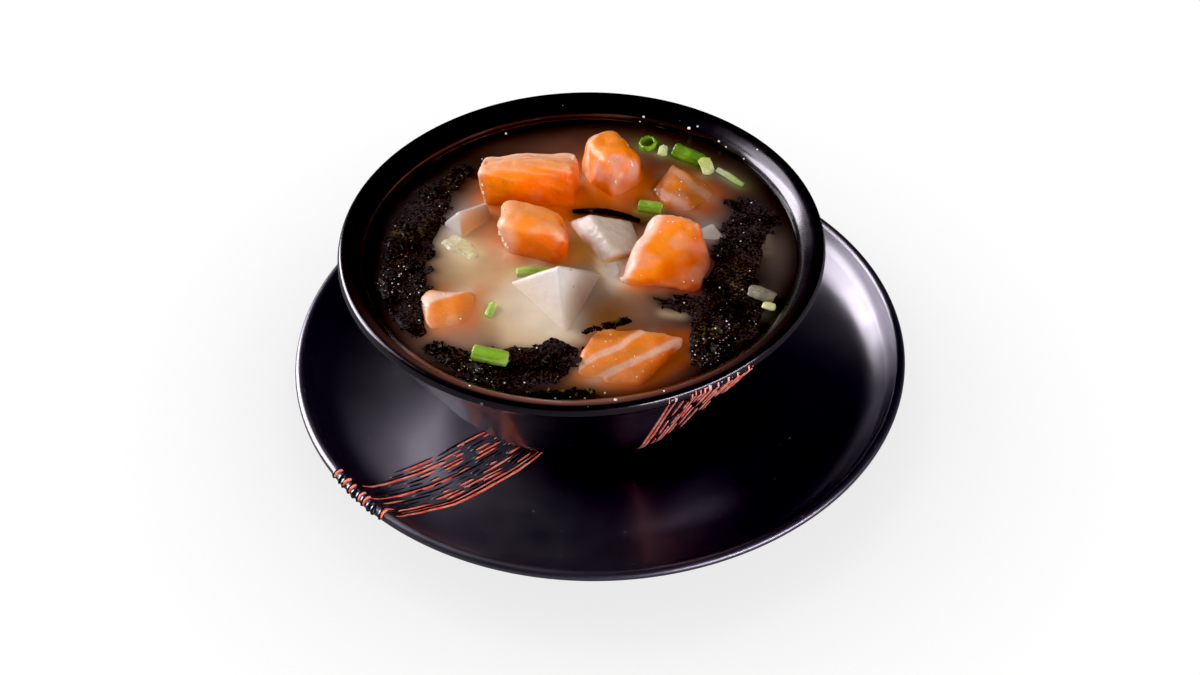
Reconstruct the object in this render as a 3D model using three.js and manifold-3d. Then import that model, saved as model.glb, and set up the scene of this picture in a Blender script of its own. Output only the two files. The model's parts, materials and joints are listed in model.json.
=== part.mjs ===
// A bowl of miso soup with salmon, tofu, seaweed and spring onion, standing on its matching saucer.
// Millimetres, +Z up. The origin is on the table under the middle of the saucer, and -Y is the front.
import * as THREE from "three";
import { mergeVertices } from "three/addons/utils/BufferGeometryUtils.js";
import Module from "manifold-3d";

const wasm = await Module();
wasm.setup();

// ---- Driving dimensions ----
const SAUCER_RADIUS = 98.2;
const SAUCER_HEIGHT = 22;
const SAUCER_FLOOR = 6.5; // top of the flat middle, above the table
const SAUCER_LIP = 1.6; // radius of the rounded edge
const SAUCER_FOOT_RADIUS = 50;

const BOWL_RADIUS = 75;
const BOWL_HEIGHT = 60.9;
const BOWL_LIP = 2; // radius of the rounded rim
const BOWL_FOOT_RADIUS = 36.8;
const BOWL_OFFSET = [-4.7, -0.7]; // the bowl stands a little left of the saucer's middle
const BOWL_INNER_FLOOR = 9.5; // above the bowl's own foot

const SOUP_LEVEL = 54.6; // above the bowl's own foot
const SOUP_RADIUS = 67; // where the soup meets the wall

const GAP = 0.3; // between neighbouring pieces
const TURN_STEPS = 48; // facets round the saucer, the bowl and the soup

const degrees = THREE.MathUtils.degToRad;

// ---- Materials ----
const finish = (color, roughness) => new THREE.MeshStandardMaterial({ color, roughness, metalness: 0 });
const lacquer = finish(0x0b0a0d, 0.32);
const broth = finish(0x8a6a52, 0.25);
const salmonFlesh = finish(0xf08a4b, 0.35);
const tofuCurd = finish(0xf0e4cf, 0.45);
const seaweedLeaf = finish(0x12120c, 0.3);
const onionGreen = finish(0x6fae1c, 0.35);
const leekWhite = finish(0xd3d9ad, 0.35);

// ---- Solids ----
// A geometry as a manifold solid: vertices merged, and triangles without area dropped.
function solidOf(geometry) {
  const bare = new THREE.BufferGeometry().setAttribute("position", geometry.getAttribute("position"));
  if (geometry.index) bare.setIndex(geometry.index);
  const merged = mergeVertices(bare, 1e-3);
  const triangles = [];
  for (let i = 0; i < merged.index.count; i += 3) {
    const [a, b, c] = [0, 1, 2].map((k) => merged.index.getX(i + k));
    if (a !== b && b !== c && c !== a) triangles.push(a, b, c);
  }
  return new wasm.Manifold(
    new wasm.Mesh({
      numProp: 3,
      vertProperties: merged.attributes.position.array,
      triVerts: new Uint32Array(triangles),
    }),
  );
}

function geometryOf(solid) {
  const { numVert, numProp, vertProperties, triVerts } = solid.getMesh();
  const positions = new Float32Array(numVert * 3);
  for (let i = 0; i < numVert; i++) {
    positions.set(vertProperties.subarray(i * numProp, i * numProp + 3), i * 3);
  }
  const geometry = new THREE.BufferGeometry();
  geometry.setAttribute("position", new THREE.BufferAttribute(positions, 3));
  geometry.setIndex(new THREE.BufferAttribute(triVerts, 1));
  geometry.computeVertexNormals();
  return geometry;
}

// The largest of a solid's separate bodies: what a cut leaves loose beside it is dropped.
function largestBody(solid) {
  return solid.decompose().reduce((best, body) => (body.volume() > best.volume() ? body : best));
}

const cutBy = (solid, cutters) => cutters.reduce((rest, cutter) => rest.subtract(cutter), solid);

function named(name, geometry, material) {
  const mesh = new THREE.Mesh(geometry, material);
  mesh.name = name;
  return mesh;
}

// A repeatable random number from 0 to 1.
function seeded(seed) {
  let state = seed * 2654435761;
  return () => {
    state = (state + 0x6d2b79f5) | 0;
    let mixed = Math.imul(state ^ (state >>> 15), 1 | state);
    mixed = (mixed + Math.imul(mixed ^ (mixed >>> 7), 61 | mixed)) ^ mixed;
    return ((mixed ^ (mixed >>> 14)) >>> 0) / 4294967296;
  };
}

// ---- Dishes: profiles turned about +Z ----
function turned(profile) {
  return new THREE.LatheGeometry(profile, TURN_STEPS).rotateX(Math.PI / 2);
}

const onRadius = (points) => points.map(([radius, height]) => new THREE.Vector2(radius, height));

// Points along a smooth curve through a few [radius, height] pairs.
const curved = (points, steps) => new THREE.SplineCurve(onRadius(points)).getPoints(steps);

// Points round a lip's section, from its outer foot over the top to its inner side.
function lipArc(radius, height, lip, from, to, steps) {
  const arc = new THREE.Path().absarc(radius - lip, height - lip, lip, degrees(from), degrees(to), false);
  return arc.getPoints(steps);
}

function saucerProfile() {
  const thickness = 3.5;
  const under = SAUCER_FLOOR - thickness;
  return [
    ...onRadius([[0, under], [SAUCER_FOOT_RADIUS - 5.5, under], [SAUCER_FOOT_RADIUS - 4, 0]]),
    ...onRadius([[SAUCER_FOOT_RADIUS, 0], [SAUCER_FOOT_RADIUS + 1.5, under]]),
    ...curved([[76, 5.2], [88.5, 10.4], [96, 18]], 2),
    ...lipArc(SAUCER_RADIUS, SAUCER_HEIGHT, SAUCER_LIP, -10, 170, 3),
    ...curved([[92.8, 15.6], [86, 10.2], [74, 7.2], [62, SAUCER_FLOOR]], 3),
    new THREE.Vector2(0, SAUCER_FLOOR),
  ];
}

// The bowl's inner wall, from the soup's edge down to the middle.
const innerWall = () => [
  ...onRadius([[SOUP_RADIUS, SOUP_LEVEL], [61.2, 44]]),
  ...curved([[55, 33.4], [48, 22.6], [36, 13.2], [22, BOWL_INNER_FLOOR + 0.7]], 3),
  new THREE.Vector2(0, BOWL_INNER_FLOOR),
];

function bowlProfile() {
  const footRecess = 3;
  return [
    ...onRadius([[0, footRecess], [BOWL_FOOT_RADIUS - 5.3, footRecess], [BOWL_FOOT_RADIUS - 4, 0]]),
    ...onRadius([[BOWL_FOOT_RADIUS, 0], [BOWL_FOOT_RADIUS - 0.5, 4]]),
    ...curved([[41, 7.4], [47.6, 13], [52.6, 19.2], [56.4, 25.6]], 3),
    new THREE.Vector2(BOWL_RADIUS - 0.9, BOWL_HEIGHT - 4.2),
    ...lipArc(BOWL_RADIUS, BOWL_HEIGHT, BOWL_LIP, -25, 190, 4),
    ...innerWall(),
  ];
}

// ---- Soup: fills the bowl up to its level, a gap inside the wall ----
function soupBody() {
  const wall = innerWall().map((point) => new THREE.Vector2(Math.max(0, point.x - GAP), point.y + GAP));
  wall[0].set(SOUP_RADIUS - GAP, SOUP_LEVEL);
  return solidOf(turned([...wall.reverse(), new THREE.Vector2(0, SOUP_LEVEL)]));
}

// ---- Blocks: salmon and tofu, cut with a knife ----
// Where the grid lines lie along one side of a block, from -1 to 1: the outer ones bound the rounded edge.
function gridLines(round, half, inner) {
  const edge = 1 - round / half;
  const middle = Array.from({ length: inner }, (_, i) => edge * ((2 * (i + 1)) / (inner + 1) - 1));
  return [-1, -edge, ...middle, edge, 1];
}

// A box with rounded edges, cut out of square: narrow tapers it upward (below 0) or downward, slant leans it
// over along y, wedge makes its far side longer than its near side, clip cuts that many millimetres off its
// far right corner, and swell makes its faces uneven.
function blockGeometry(shape, grow = 0) {
  const { size, narrow = 0, slant = 0, wedge = 0, clip = 0, round, inner, swell, seed } = shape;
  const half = size.map((length) => length / 2 + grow);
  const radius = round + grow;
  const lines = half.map((length) => gridLines(radius, length, inner));
  const cells = inner + 3;
  const box = new THREE.BoxGeometry(2, 2, 2, cells, cells, cells);
  const place = box.getAttribute("position");
  const random = seeded(seed);
  const phases = [0, 1, 2].map(() => random() * 2 * Math.PI);
  for (let i = 0; i < place.count; i++) {
    const unit = [place.getX(i), place.getY(i), place.getZ(i)];
    const point = unit.map((u, k) => lines[k][Math.round(((u + 1) / 2) * cells)] * half[k]);
    const core = point.map((p, k) => THREE.MathUtils.clamp(p, radius - half[k], half[k] - radius));
    const out = point.map((p, k) => p - core[k]);
    const reach = Math.hypot(...out);
    const ripple = Math.sin(point[0] * 0.31 + phases[0]) * Math.cos(point[1] * 0.27 + phases[1]);
    const bump = Math.sin(point[2] * 0.42 + point[0] * 0.2 + phases[2]);
    const rise = radius + swell * (ripple + 0.6 * bump);
    const [x, y, z] = core.map((c, k) => c + (out[k] / reach) * rise);
    const taper = 1 + (narrow * z) / half[2] / 2;
    const stretch = 1 + (wedge * y) / half[1] / 2;
    const corner = Math.max(0, x / half[0]) * Math.max(0, y / half[1]);
    place.setXYZ(i, x * taper * stretch + slant * y - clip * corner, y * taper, z);
  }
  return box;
}

// What lies at a spot in the bowl: at is its middle, the height measured from the soup's level, and
// turn is in degrees about Z, then X, then Y. bed is its solid grown by the gap, which cuts its neighbours,
// and under names the pieces that lie over it and cut it.
function posed(kinds, common, shapeOf, material) {
  return Object.entries(kinds).map(([name, own]) => {
    const shape = { ...common, ...own };
    const spot = new THREE.Object3D();
    spot.position.set(own.at[0], own.at[1], SOUP_LEVEL + own.at[2]);
    spot.rotation.set(degrees(own.turn[1]), degrees(own.turn[2]), degrees(own.turn[0]), "ZXY");
    spot.updateMatrix();
    const bed = shapeOf({ ...shape, ...shape.coarse }, GAP + (shape.swell ?? 0));
    const mesh = named(name, shapeOf(shape), material);
    mesh.position.copy(spot.position);
    mesh.rotation.copy(spot.rotation);
    const { matrix } = spot;
    return { mesh, matrix, bed: solidOf(bed.applyMatrix4(matrix)), under: own.under ?? [] };
  });
}

// Cuts a piece by those that lie over it. The cut mesh is in the bowl's own frame.
function trim(piece, pieces) {
  if (!piece.under.length) return;
  const over = pieces.filter(({ mesh }) => piece.under.includes(mesh.name)).map(({ bed }) => bed);
  const whole = solidOf(piece.mesh.geometry.applyMatrix4(piece.matrix));
  piece.mesh.geometry = geometryOf(largestBody(cutBy(whole, over)));
  piece.mesh.position.set(0, 0, 0);
  piece.mesh.rotation.set(0, 0, 0);
}

const SALMON = {
  round: 2.4,
  inner: 1,
  swell: 0.5,
  coarse: { inner: 0, swell: 0 },
};

const SALMON_BLOCKS = {
  salmon_back_left: { size: [30, 11.5, 22], at: [-16, 29.1, 1.8], turn: [-4, -5, -3], narrow: 0.1, seed: 11 },
  salmon_back_middle: {
    size: [16, 21.6, 20],
    at: [10.2, 38.6, 1.2],
    turn: [44, -5, 6],
    narrow: -0.5,
    slant: 0.12,
    wedge: -0.25,
    seed: 12,
  },
  salmon_back_right: {
    size: [24.5, 17, 13],
    at: [34.2, 26.4, -4.8],
    turn: [-40, 3, 11],
    slant: -0.17,
    wedge: 0.14,
    under: ["salmon_back_middle"],
    seed: 13,
  },
  salmon_middle_left: {
    size: [21.5, 14, 20],
    at: [-15, 4.4, 1.3],
    turn: [-18, -1, 1],
    narrow: 0.12,
    slant: -0.43,
    seed: 14,
  },
  salmon_middle_right: {
    size: [24, 25.3, 14],
    at: [28.4, -5.1, 0.1],
    turn: [-12, 23, 6],
    narrow: 0.15,
    slant: 0.33,
    clip: 13,
    coarse: { swell: 0 },
    seed: 15,
  },
  salmon_front: {
    size: [23.5, 21, 11],
    at: [11.5, -48.1, -3.9],
    turn: [-13, 7, -2],
    narrow: 0.2,
    slant: 0.32,
    wedge: 0.28,
    seed: 16,
  },
  salmon_left: { size: [17, 17, 13], at: [-39, -24.6, -3.8], turn: [6, 13, 1], seed: 17 },
};

const TOFU = {
  round: 0.9,
  inner: 0,
  swell: 0.1,
};

const TOFU_BLOCKS = {
  tofu_front: { size: [25, 25, 25], at: [-6.9, -19.8, -9.8], turn: [6, 34, -44], seed: 21 },
  tofu_middle: {
    size: [5.6, 10, 6],
    at: [9.6, -9.8, -2.7],
    turn: [14, 3, -8],
    under: ["salmon_middle_right", "tofu_front", "tofu_back"],
    seed: 22,
  },
  tofu_back: {
    size: [17, 20, 8.4],
    at: [10.8, 4.6, -1.5],
    turn: [7, 1, 20],
    narrow: -0.48,
    slant: -0.19,
    wedge: 0.22,
    under: ["salmon_middle_right", "tofu_front"],
    seed: 23,
  },
  tofu_left: {
    size: [14.6, 13, 12.4],
    at: [-36.9, 14.7, -5.5],
    turn: [26, 34, -68],
    narrow: -0.15,
    slant: 0.32,
    wedge: 0.2,
    seed: 24,
  },
  tofu_right: { size: [7, 7, 8], at: [40.2, 6.8, -3.2], turn: [30, 12, -10], seed: 25 },
};

// ---- Sheets: leaves, strips and flakes, thin and wavy ----
// surface(u, v) gives a point of the middle face, u and v from 0 to 1. Both faces have the same triangles.
function sheetGeometry(surface, across, along, thickness) {
  const positions = [];
  const index = [];
  const row = along + 1;
  const count = (across + 1) * row;
  const step = 0.01;
  for (const side of [1, -1]) {
    for (let i = 0; i <= across; i++) {
      for (let j = 0; j <= along; j++) {
        const [u, v] = [i / across, j / along];
        const point = surface(u, v);
        const du = surface(u + step, v).sub(surface(u - step, v));
        const dv = surface(u, v + step).sub(surface(u, v - step));
        point.addScaledVector(du.cross(dv).normalize(), (side * thickness) / 2);
        positions.push(point.x, point.y, point.z);
      }
    }
  }
  const quad = (a, b, c, d) => index.push(a, b, c, a, c, d);
  for (let i = 0; i < across; i++) {
    for (let j = 0; j < along; j++) {
      const a = i * row + j;
      quad(a, a + row, a + row + 1, a + 1);
      quad(count + a, count + a + 1, count + a + row + 1, count + a + row);
    }
  }
  for (let i = 0; i < across; i++) {
    const [near, far] = [i * row, i * row + along];
    quad(near, near + count, near + count + row, near + row);
    quad(far, far + row, far + row + count, far + count);
  }
  for (let j = 0; j < along; j++) {
    const [left, right] = [j, across * row + j];
    quad(left, left + 1, left + 1 + count, left + count);
    quad(right, right + count, right + count + 1, right + 1);
  }
  const geometry = new THREE.BufferGeometry();
  geometry.setAttribute("position", new THREE.Float32BufferAttribute(positions, 3));
  geometry.setIndex(index);
  return geometry;
}

// A strip of seaweed through a few [x, y, height above the soup] points, rippled along its length.
function stripGeometry({ path, width, thickness, ripple, steps }, grow = 0) {
  const curve = new THREE.CatmullRomCurve3(
    path.map(([x, y, height]) => new THREE.Vector3(x, y, SOUP_LEVEL + height)),
  );
  const surface = (u, v) => {
    const share = THREE.MathUtils.clamp(v, 0, 1);
    const ahead = curve.getTangent(share);
    const side = new THREE.Vector3(-ahead.y, ahead.x, 0).normalize();
    const narrowing = 1 - 0.5 * Math.pow(2 * share - 1, 2);
    const point = curve.getPoint(share).addScaledVector(ahead, (v - share) * 10);
    point.z += ripple * Math.sin(v * 17 + u * 2);
    return point.addScaledVector(side, (0.5 - u) * (width * narrowing + 2 * grow));
  };
  return sheetGeometry(surface, 2, steps, thickness + 2 * grow);
}

const STRIPS = {
  seaweed_strip_front: {
    path: [[0.2, -39.4, 1.6], [4.2, -39, 2.6], [9, -38.2, 3.4], [13.8, -37, 3.8]],
    width: 2.4,
    thickness: 0.8,
    ripple: 0.2,
    steps: 6,
  },
  seaweed_strip_back: {
    path: [[-2.5, 18.4, 0.6], [4, 18.2, 0.9], [10.5, 16.6, 1], [18.5, 12.8, 0.8]],
    width: 2,
    thickness: 0.8,
    ripple: 0.1,
    steps: 6,
  },
  seaweed_strip_rim: {
    path: [[-16.5, -62.4, 0.6], [-10, -62.7, 0.7], [-3, -62.9, 0.7], [3, -62.4, 0.6]],
    width: 1.8,
    thickness: 0.8,
    ripple: 0.1,
    steps: 6,
  },
};

// ---- Seaweed: soaked clumps, a low core with crumpled flakes fused on ----
// spine: [x, y, half width, crest above the soup] along the clump. branch: the same for a side lobe.
const CLUMPS = {
  seaweed_left: {
    spine: [
      [-36.5, 44, 1.8, 0.5],
      [-44.3, 32.5, 4.6, 0.9],
      [-50.5, 20, 7.4, 1.3],
      [-53.8, 5, 8, 1.6],
      [-54.4, -10, 7.6, 1.8],
      [-52, -24, 6.2, 1.5],
      [-48.6, -36, 2.6, 0.7],
    ],
    flakes: 8,
    seed: 31,
  },
  seaweed_front: {
    spine: [
      [-46.2, -40.2, 1.8, 0.5],
      [-37.5, -47, 3.6, 0.9],
      [-28.5, -51, 7.6, 1.5],
      [-18.5, -50.8, 9, 1.9],
      [-9.5, -48, 8.6, 1.6],
      [-4, -43, 6, 1],
    ],
    flakes: 7,
    seed: 32,
  },
  seaweed_right: {
    spine: [
      [51, 23, 3.2, 0.8],
      [53.5, 12, 7.6, 1.5],
      [50, 1, 7.4, 1.5],
      [46, -10, 7.4, 1.6],
      [44.4, -21, 9.6, 1.9],
      [43.2, -31, 11, 2.2],
      [38.5, -42, 7.6, 2.2],
      [34.5, -51.5, 4, 1.4],
    ],
    branch: [
      [23, -23.6, 1.2, 0.4],
      [28, -25, 3, 1.1],
      [36, -27, 4, 1.4],
    ],
    flakes: 10,
    seed: 33,
  },
};

const CLUMP_DEPTH = 5; // how far a clump hangs into the soup
const CLUMP_SIDES = 8;
const FLAKE_LENGTH = 9;
const FLAKE_THICKNESS = 0.6;
const UP = new THREE.Vector3(0, 0, 1);

// Along a spine: share 0 to 1 gives the point, the half width, the crest, the way ahead and to the left.
function spineAt(spine) {
  const places = spine.map(([x, y]) => new THREE.Vector3(x, y, SOUP_LEVEL));
  const extents = spine.map(([, , width, crest]) => new THREE.Vector3(width, crest, 0));
  const line = new THREE.CatmullRomCurve3(places);
  const sizes = new THREE.CatmullRomCurve3(extents);
  return (share) => {
    const { x: width, y: crest } = sizes.getPoint(share);
    const ahead = line.getTangent(share);
    return { point: line.getPoint(share), width, crest, ahead, left: UP.clone().cross(ahead) };
  };
}

// A lobe of a clump: uneven rings along a spine, closed by a point at each end.
function lobe(spine, seed, grow) {
  const at = spineAt(spine);
  const stations = spine.length * 2;
  const random = seeded(seed);
  const positions = [];
  const index = [];
  for (let i = 0; i < stations; i++) {
    const { point, width, crest, left } = at(i / (stations - 1));
    for (let k = 0; k < CLUMP_SIDES; k++) {
      const angle = (2 * Math.PI * k) / CLUMP_SIDES;
      const uneven = 0.86 + 0.28 * random();
      const height = Math.sin(angle) > 0 ? crest : CLUMP_DEPTH;
      const spot = point.clone().addScaledVector(left, Math.cos(angle) * (width * uneven + grow));
      spot.z += Math.sin(angle) * (height * uneven + grow);
      positions.push(...spot);
    }
  }
  const tips = [0, 1].map((end) => {
    const { point, ahead } = at(end);
    positions.push(...point.addScaledVector(ahead, (end ? 1 : -1) * (1 + grow)));
    return positions.length / 3 - 1;
  });
  const last = (stations - 1) * CLUMP_SIDES;
  for (let k = 0; k < CLUMP_SIDES; k++) {
    const next = (k + 1) % CLUMP_SIDES;
    for (let i = 0; i < stations - 1; i++) {
      const [a, b] = [i * CLUMP_SIDES + k, i * CLUMP_SIDES + next];
      index.push(a, b, b + CLUMP_SIDES, a, b + CLUMP_SIDES, a + CLUMP_SIDES);
    }
    index.push(tips[0], next, k, tips[1], last + k, last + next);
  }
  const geometry = new THREE.BufferGeometry();
  geometry.setAttribute("position", new THREE.Float32BufferAttribute(positions, 3));
  geometry.setIndex(index);
  return solidOf(geometry);
}

function clumpCore({ spine, branch, seed }, grow = 0) {
  const main = lobe(spine, seed, grow);
  return branch ? main.add(lobe(branch, seed + 50, grow)) : main;
}

// Crumpled flakes strewn over the clump, their lower edges in the core.
function clumpFlakes(clump) {
  const at = spineAt(clump.spine);
  const random = seeded(clump.seed + 100);
  return Array.from({ length: clump.flakes }, (_, i) => {
    const { point, width, crest, left } = at((i + 0.3 + 0.4 * random()) / clump.flakes);
    const length = FLAKE_LENGTH * (0.6 + 0.6 * random());
    const spot = new THREE.Object3D();
    spot.position.copy(point).addScaledVector(left, (random() - 0.5) * width * 1.2);
    spot.position.z += crest * 0.7;
    spot.rotation.set((random() - 0.5) * 1.2, (random() - 0.5) * 1.2, random() * Math.PI, "ZXY");
    spot.updateMatrix();
    const wave = 0.5 + random();
    const surface = (u, v) => {
      const height = wave * Math.sin(u * 5 + i) * Math.cos(v * 3);
      return new THREE.Vector3((u - 0.5) * length, (v - 0.5) * length * 0.7, height);
    };
    return solidOf(sheetGeometry(surface, 2, 1, FLAKE_THICKNESS).applyMatrix4(spot.matrix));
  });
}

// The soup's depth under its level as a slab, which flakes that reach past the core keep out of.
function belowSurface() {
  const depth = 30;
  const side = 2 * BOWL_RADIUS;
  return solidOf(new THREE.BoxGeometry(side, side, depth).translate(0, 0, SOUP_LEVEL + GAP - depth / 2));
}

// ---- Spring onion and leek: hollow rings, and slivers cut from a wall ----
const WALL = 1.1; // thickness of a spring onion's wall

const RING = {
  round: 0.35,
  sides: 8,
  coarse: { filled: true },
};

const ONION_RINGS = {
  onion_front: { radius: 2.4, length: 10.6, at: [-27.2, -48.5, 2.9], turn: [-15, 0, 4] },
  onion_middle: { radius: 2.2, length: 7.5, at: [22, 19.4, 0.6], turn: [-14, 0, 0] },
  onion_back_large: { radius: 2.7, length: 10.5, at: [35.4, 44.9, 0.7], turn: [-32, 0, 6] },
  onion_back_small: { radius: 3.1, length: 3, at: [22.5, 52, 0.4], turn: [0, 8, 86] },
};

// A ring that lies along X; filled makes it a plain rod.
function ringGeometry({ radius, length, round, sides, filled }, grow = 0) {
  const [outer, half] = [radius + grow, length / 2 + grow];
  const skin = [[outer - round, -half], [outer, round - half], [outer, half - round], [outer - round, half]];
  const bore = radius - WALL;
  const profile = filled
    ? [[0, -half], ...skin, [0, half]]
    : [[bore, -half], ...skin, [bore, half], [bore, -half]];
  return new THREE.LatheGeometry(onRadius(profile), sides).rotateZ(-Math.PI / 2);
}

const SLIVER_CELLS = 3;

const ONION_SLIVERS = {
  onion_sliver_middle: { size: [11, 4], bend: 1.2, at: [-14.6, -9.4, 0.5], turn: [0, 12, 0] },
  onion_sliver_pale: { size: [2.8, 4.4], bend: 0.7, at: [27.4, 48.2, 0.6], turn: [-14, 20, 0] },
  onion_sliver_yellow: { size: [4.8, 6.4], bend: 0.9, at: [40.8, 38.2, 1.8], turn: [24, 34, 10] },
  onion_sliver_strip: { size: [11.5, 2.2], bend: 0.5, at: [48.2, 33.6, 0.5], turn: [-47, 12, 0] },
  onion_sliver_left: { size: [2.4, 6.4], bend: 0.5, at: [-27.4, -26.2, 0.6], turn: [-16, 8, 0] },
  onion_sliver_right: { size: [4, 2.6], bend: 0.5, at: [55.5, -30.2, 2.4], turn: [-18, 16, 0] },
};

const LEEK_PIECES = {
  leek_left: { size: [14, 8.6], bend: 1.6, at: [-37.2, 2.4, -0.4], turn: [-46, 6, 4] },
  leek_right: { size: [9, 5.6], bend: 1.8, at: [54.2, -23.6, 1.6], turn: [-30, 10, 0] },
};

function sliverGeometry({ size, bend }, grow = 0) {
  const [length, width] = size.map((side) => side + 2 * grow);
  const surface = (u, v) => {
    const across = (v - 0.5) * width * (1 - 0.3 * Math.pow(2 * u - 1, 2));
    const arch = bend * (Math.cos((v - 0.5) * 2.4) - 0.7);
    return new THREE.Vector3((u - 0.5) * length, across, arch + 0.25 * Math.sin(u * 6));
  };
  return sheetGeometry(surface, SLIVER_CELLS, SLIVER_CELLS, WALL + 2 * grow);
}

// ---- Assembly ----
const bowlSet = new THREE.Group(); // the bowl and all that is in it, in the bowl's own frame
bowlSet.position.set(BOWL_OFFSET[0], BOWL_OFFSET[1], SAUCER_FLOOR + GAP);
bowlSet.add(named("bowl", turned(bowlProfile()), lacquer));

const pieces = [
  ...posed(SALMON_BLOCKS, SALMON, blockGeometry, salmonFlesh),
  ...posed(TOFU_BLOCKS, TOFU, blockGeometry, tofuCurd),
  ...posed(ONION_RINGS, RING, ringGeometry, onionGreen),
  ...posed(ONION_SLIVERS, {}, sliverGeometry, onionGreen),
  ...posed(LEEK_PIECES, {}, sliverGeometry, leekWhite),
];
pieces.forEach((piece) => trim(piece, pieces));
bowlSet.add(...pieces.map((piece) => piece.mesh));
const beds = pieces.map((piece) => piece.bed); // what the seaweed and the soup are cut round

const underSoup = belowSurface();
for (const [name, clump] of Object.entries(CLUMPS)) {
  const flakes = clumpFlakes(clump).reduce((sum, flake) => sum.add(flake)).subtract(underSoup);
  const fused = largestBody(cutBy(clumpCore(clump).add(flakes), beds));
  bowlSet.add(named(name, geometryOf(fused), seaweedLeaf));
}
beds.push(...Object.values(CLUMPS).map((clump) => clumpCore(clump, GAP)));

for (const [name, strip] of Object.entries(STRIPS)) {
  const solid = largestBody(cutBy(solidOf(stripGeometry(strip)), beds));
  bowlSet.add(named(name, geometryOf(solid), seaweedLeaf));
}
beds.push(...Object.values(STRIPS).map((strip) => solidOf(stripGeometry(strip, GAP))));

const soup = largestBody(cutBy(soupBody(), beds));
bowlSet.add(named("soup", geometryOf(soup), broth));

const misoSoup = new THREE.Group();
misoSoup.add(named("saucer", turned(saucerProfile()), lacquer));
misoSoup.add(bowlSet);

export default misoSoup;
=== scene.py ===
"""The looks of a bowl of miso soup: lacquer bowl and saucer, broth, salmon, tofu, seaweed and onion.

Lengths in the tables are in millimetres. Places in the bowl are measured from the bowl's middle, and
heights from the soup's level or from the bowl's foot. Meshes are in metres, in the frame's own place.
"""

import itertools
import math
import random

import bpy
import numpy as np
from mathutils import Matrix, Vector
from mathutils.bvhtree import BVHTree
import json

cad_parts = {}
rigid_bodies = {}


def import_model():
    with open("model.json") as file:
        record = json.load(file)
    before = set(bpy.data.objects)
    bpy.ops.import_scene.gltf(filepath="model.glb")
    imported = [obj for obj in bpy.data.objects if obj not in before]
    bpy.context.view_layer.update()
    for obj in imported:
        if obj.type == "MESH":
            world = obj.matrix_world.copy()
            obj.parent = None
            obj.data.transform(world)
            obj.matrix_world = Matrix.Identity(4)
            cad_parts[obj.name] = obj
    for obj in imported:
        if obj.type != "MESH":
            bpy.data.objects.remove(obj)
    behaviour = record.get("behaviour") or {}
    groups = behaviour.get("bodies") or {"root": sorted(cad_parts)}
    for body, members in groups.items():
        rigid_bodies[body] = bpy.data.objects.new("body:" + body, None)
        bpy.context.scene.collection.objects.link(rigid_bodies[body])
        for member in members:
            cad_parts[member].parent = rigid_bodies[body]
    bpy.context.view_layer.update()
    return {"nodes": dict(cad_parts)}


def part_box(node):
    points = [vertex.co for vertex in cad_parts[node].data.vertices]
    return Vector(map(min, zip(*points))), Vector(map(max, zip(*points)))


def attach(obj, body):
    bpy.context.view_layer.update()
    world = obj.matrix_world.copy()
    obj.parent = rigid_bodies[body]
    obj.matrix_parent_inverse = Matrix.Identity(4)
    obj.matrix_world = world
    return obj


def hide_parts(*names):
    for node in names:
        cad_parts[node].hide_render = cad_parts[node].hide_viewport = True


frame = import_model()

MM = 0.001
BODY = "root"

# ---- Places taken from the frame ----
saucer_low, saucer_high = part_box("saucer")
bowl_low, bowl_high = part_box("bowl")
soup_low, soup_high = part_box("soup")

SAUCER_RADIUS = saucer_high.x / MM
SAUCER_HEIGHT = saucer_high.z / MM
BOWL_RADIUS = (bowl_high.x - bowl_low.x) / 2 / MM
BOWL_HEIGHT = (bowl_high.z - bowl_low.z) / MM
BOWL_FOOT = np.array([(bowl_low.x + bowl_high.x) / 2, (bowl_low.y + bowl_high.y) / 2, bowl_low.z]) / MM
SOUP_RADIUS = (soup_high.x - soup_low.x) / 2 / MM
LEVEL = soup_high.z / MM
SOUP_MIDDLE = np.array([BOWL_FOOT[0], BOWL_FOOT[1], LEVEL])


# ---- Colours ----
def srgb(red, green, blue):
    """A colour from 0 to 255, as the linear values that shaders take."""
    shares = np.array([red, green, blue]) / 255
    return np.where(shares < 0.04045, shares / 12.92, ((shares + 0.055) / 1.055) ** 2.4)


def blend(first, second, weight):
    """Colours between two colours or rows of colours, by a weight from 0 to 1."""
    weight = np.clip(np.asarray(weight, float), 0, 1)[..., None]
    return np.asarray(first) * (1 - weight) + np.asarray(second) * weight


def ease(low, high, values):
    """A smooth step from 0 at low to 1 at high."""
    share = np.clip((values - low) / (high - low), 0, 1)
    return share * share * (3 - 2 * share)


# ---- Noise ----
HASH_PRIMES = np.array([73856093, 19349663, 83492791])


def grain(points, size, seed=0):
    """Smooth random values from -1 to 1 at points, changing over about size."""
    cells = points / size + 31.7 * seed
    base = np.floor(cells).astype(np.int64)
    part = cells - base
    part = part * part * (3 - 2 * part)
    total = np.zeros(len(points))
    for corner in itertools.product((0, 1), repeat=3):
        mixed = np.bitwise_xor.reduce((base + corner) * HASH_PRIMES, axis=1)
        value = np.modf(np.sin((mixed & 0xFFFFF) * 12.9898) * 43758.5453)[0]
        total += np.prod(np.where(corner, part, 1 - part), axis=1) * value
    return total


def rough(points, size, octaves, seed=0):
    """Several octaves of grain, each half as large and half as strong as the last."""
    return sum(grain(points, size / 2**k, seed + k) / 2**k for k in range(octaves))


def creases(points, size, octaves, seed=0):
    """Sharp folds: from 0 in the valleys to about 1 on the ridges."""
    return sum((1 - 2 * abs(grain(points, size / 2**k, seed + k))) / 2**k for k in range(octaves)) / 2


# ---- Meshes ----
def rows_of(items, field, size, kind=float):
    """One field of all of Blender's items, as rows."""
    values = np.empty(len(items) * size, kind)
    items.foreach_get(field, values)
    return values.reshape(-1, size)


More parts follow.
